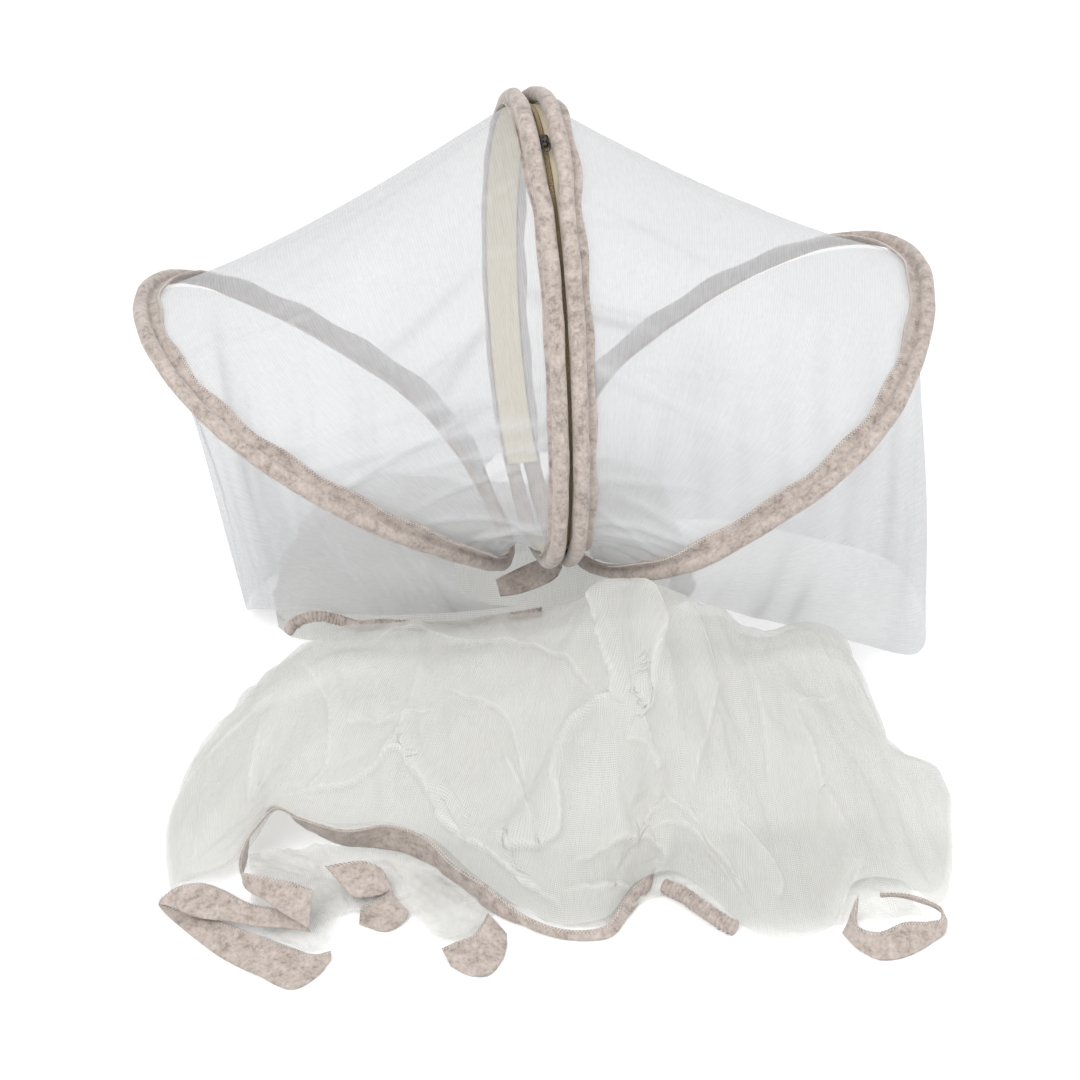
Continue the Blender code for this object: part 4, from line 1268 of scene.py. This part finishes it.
# Lowest layer of the skirt, spread on the table between the hems
spreadRows = (
    (-322, -366, -318, -300),
    (-292, -398, -290, -300),
    (-266, -404, -262, -300),
    (-240, -392, -238, -300),
    (-214, -396, -212, -300),
    (-190, -398, -186, -300),
    (-168, -430, -160, -300),
    (-144, -446, -132, -310),
    (-122, -424, -104, -320),
    (-96, -404, -76, -330),
    (-60, -436, -44, -340),
    (-20, -446, -8, -340),
    (20, -424, 28, -340),
    (60, -414, 66, -340),
    (98, -462, 100, -340),
    (140, -482, 140, -340),
    (184, -480, 180, -340),
    (220, -478, 216, -340),
    (262, -482, 252, -340),
)
edges = through(spreadRows, 220)
share = np.linspace(0, 1, 50)[:, None, None]
plan = edges[:, 0:2] * (1 - share) + edges[:, 2:4] * share
lift = 4.0 + 3.0 * ripple(plan, 34, 61) + 1.6 * ripple(plan, 15, 62) + 5 * share[..., 0]
grid = np.concatenate([plan, np.maximum(lift, 0.8)[..., None]], axis=-1)
spread = netSheet("spreadSkirt", grid, skirtNet, 0.15 + 0.35 * np.abs(ripple(plan, 20, 63)))
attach(spread, "root")


# Inner heap behind the feet
def innerGrid(count, riseCount, shrink):
    rows = through(innerHeapRows, count)
    grid = []
    for t in np.linspace(0.0, 1.0, riseCount):
        if t < 0.55:
            part = t / 0.55
            y = rows[:, 3] * (1 - part) + rows[:, 1] * part
            z = rows[:, 2] * math.sin(part * math.pi / 2)
        else:
            part = (t - 0.55) / 0.45
            y = rows[:, 1] * (1 - part) + rows[:, 4] * part
            z = rows[:, 2] * math.cos(part * math.pi / 2)
        grid.append(np.stack([rows[:, 0], y, np.maximum(z * (1 - shrink), 0.7)], axis=1))
    foot = grid[0].copy()
    foot[:, 1] -= 22
    foot[:, 2] = 0.7
    grid[0][:, 2] = 0.7
    return np.array([foot] + grid)


innerLook = {"frames": 14, "fullness": (1.3, 1.05, 1.05), "most": 16.0, "gravity": 0.05, "bend": 0.2}
for name, shrink, seed in (("innerSkirt", 0.0, 83), ("innerSkirtUnder", 0.2, 89)):
    grid = innerGrid(100, 34, shrink)
    gather = np.zeros(grid.shape[:2])
    grid, gather = heapLayer(grid, innerLook, seed)
    heap = netSheet(name, grid, skirtNet, gather)
    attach(heap, "root")
    if shrink == 0.0:
        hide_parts("skirt_net_inner")
print("inner heap made")


# Small parts of the skirt that show inside the folds of the hem
def pocketGrid(rows, count, depthCount):
    edges = through(rows, count)
    share = np.linspace(0.0, 1.0, depthCount)[:, None, None]
    grid = edges[:, 0:3] * (1 - share) + edges[:, 3:6] * share
    grid[..., 2] -= 3.0 * np.sin(np.pi * share[..., 0])
    return grid


for name, rows, node, flat, seed in (
    ("foldNet", foldNetRows, "skirt_net_fold", (0.055, 0.042), 91),
    ("cornerNet", cornerNetRows, "skirt_net_corner", (0.064, 0.07), 92),
    ("tabNet", tabNetRows, "skirt_net_tab", (0.05, 0.09), 93),
):
    grid = pocketGrid(rows, 40, 44)
    grid[..., 2] += ripple(grid, 16, seed) * 1.3
    piece = netSheet(name, grid, skirtNet, 0.2 + 0.3 * np.abs(ripple(grid, 14, seed + 4)))
    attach(piece, "root")
    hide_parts(node)


# Hem binding: folded chenille strip with overlock stitches where it joins the net
bindingLook = {"gap": 1.0, "wrinkle": 0.9}


def bindingPiece(name, rows, count, node, seed):
    edges = through(rows, count)
    inner = edges[:, 0:3]
    outer = edges[:, 3:6]
    inner = inner + unit(outer - inner) * bindingLook["gap"]
    share = np.linspace(0.0, 1.0, 15)[:, None, None]
    grid = inner * (1 - share) + outer * share
    normals = gridNormals(grid)
    bend = ripple(grid, 26, seed) * bindingLook["wrinkle"] + ripple(grid, 11, seed + 1) * 0.4
    grid = grid + normals * (bend * smoothStep(share[..., 0] * 3))[..., None]
    strip = clothStrip(name, grid, sizes["binding"], chenille)
    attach(strip, "root")
    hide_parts(node)
    length = np.linalg.norm(np.diff(inner, axis=0), axis=1).sum()
    line = through(rows, max(12, int(length / stitching["pitch"])))
    first, last = line[:, 0:3], line[:, 3:6]
    way = unit(last - first)
    tilt = unit(np.cross(way, np.gradient(first, axis=0)))
    tilt *= np.sign(tilt[:, 2:3] + 1e-6)
    for sign, label in ((1, "Top"), (-1, "Under")):
        stitches = overlock(name + "Overlock" + label, first + way * 1.4, way, tilt * sign * 2.1, stitching)
        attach(stitches, "root")
    return strip


for name, rows, count, node, seed in (
    ("frontHem", frontBindingRows, 260, "hem_binding_front", 101),
    ("cornerHem", cornerBindingRows, 160, "hem_binding_corner", 103),
    ("innerHem", innerBindingRows, 80, "hem_binding_inner", 105),
    ("tabHem", tabBindingRows, 60, "hem_binding_tab", 107),
    ("rightHem", rightBindingRows, 130, "hem_binding_right", 109),
):
    bindingPiece(name, rows, count, node, seed)


# Ruched hems: chenille drawn up on elastic, in close soft gathers
def ruchedPiece(name, rows, node, height, depth, pitch, seed):
    length = np.linalg.norm(np.diff(through(rows, 200), axis=0), axis=1).sum()
    count = int(length / pitch) * 8
    line = through(rows, count)
    along = unit(np.gradient(line, axis=0))
    across = unit(np.cross(along, np.array((0.0, 0.0, 1.0))))
    rise = np.cross(across, along)
    rolls = np.random.default_rng(seed)
    bumps = rolls.uniform(0.75, 1.25, int(length / pitch) + 2)
    sections = []
    for k in range(count):
        swell = 0.80 + 0.22 * bumps[k // 8] * math.sin(math.pi * (k % 8) / 8)
        ring = []
        for side in range(20):
            a = 2 * math.pi * side / 20
            pinch = 1 + 0.06 * math.sin(3 * a + bumps[k // 8] * 40)
            offset = across[k] * depth / 2 * math.cos(a) + rise[k] * height / 2 * math.sin(a)
            ring.append(line[k] + offset * swell * pinch)
        sections.append(ring)
    sections = np.array(sections)
    sections[..., 2] = np.maximum(sections[..., 2], 0.2)
    piece = tube(name, sections, chenille, closed=False)
    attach(piece, "root")
    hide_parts(node)
    return piece


# Loose end of the sleeve cloth, folded under the feet
footRows = (
    (-50, -44, 112, -46, -54, 98),
    (-34, -50, 124, -32, -62, 104),
    (-14, -52, 134, -12, -66, 112),
    (6, -48, 138, 8, -62, 120),
    (14, -40, 136, 16, -52, 124),
)
edges = through(footRows, 60)
share = np.linspace(0, 1, 13)[:, None, None]
grid = edges[:, 0:3] * (1 - share) + edges[:, 3:6] * share
grid += gridNormals(grid) * (ripple(grid, 18, 121) * 1.6)[..., None]
footPatch = clothStrip("footPatch", grid, 1.2, chenille)
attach(footPatch, "root")

ruchedPiece("frontRuche", frontElasticRows, "hem_elastic_front", 16, 13, 4.2, 111)
ruchedPiece("backRuche", backElasticRows, "hem_elastic_back", 12, 9, 4.0, 113)
print("hems made")


# Table, light and camera
def makeStage():
    mesh = bpy.data.meshes.new("floor")
    size = 9.0
    mesh.from_pydata([(-size, -size, 0), (size, -size, 0), (size, size, 0), (-size, size, 0)], [], [(0, 1, 2, 3)])
    floor = bpy.data.objects.new("floor", mesh)
    bpy.context.scene.collection.objects.link(floor)
    material, tree = newMaterial("matt white table")
    paint = addNode(tree, "BsdfPrincipled", {"Base Color": hexColour("#FBFBFB"), "Roughness": 0.9}, {})
    addNode(tree, "OutputMaterial", {}, {"Surface": paint.outputs[0]})
    mesh.materials.append(material)


lightLook = {"world": 0.80, "key": 82.0, "fill": 34.0}
makeStage()
world = bpy.data.worlds.new("studio")
bpy.context.scene.world = world
world.use_nodes = True
world.node_tree.nodes["Background"].inputs["Color"].default_value = hexColour("#FFFFFF")
world.node_tree.nodes["Background"].inputs["Strength"].default_value = lightLook["world"]
for name, at, size, power in (
    ("key", (-1.6, -1.8, 2.8), 2.2, lightLook["key"]),
    ("fill", (2.0, -0.8, 2.2), 2.5, lightLook["fill"]),
):
    lamp = bpy.data.lights.new(name, "AREA")
    lamp.size = size
    lamp.energy = power
    holder = bpy.data.objects.new(name, lamp)
    holder.location = at
    direction = np.array((0.0, 0.1, 0.15)) - np.array(at)
    holder.rotation_euler = mathutils.Vector(direction).to_track_quat("-Z", "Y").to_euler()
    bpy.context.scene.collection.objects.link(holder)

cameraLook = {"at": (-0.3756, -2.0123, 1.514), "look": (-0.0016, 0.1537, 0.125), "lens": 86.67}
camera = bpy.data.objects.new("camera", bpy.data.cameras.new("camera"))
camera.location = cameraLook["at"]
direction = mathutils.Vector(cameraLook["look"]) - mathutils.Vector(cameraLook["at"])
camera.rotation_euler = direction.to_track_quat("-Z", "Y").to_euler()
camera.data.lens = cameraLook["lens"]
camera.data.sensor_width = 36.0
bpy.context.scene.collection.objects.link(camera)
bpy.context.scene.camera = camera
bpy.context.scene.view_settings.view_transform = "Standard"
bpy.context.scene.cycles.transparent_max_bounces = 40
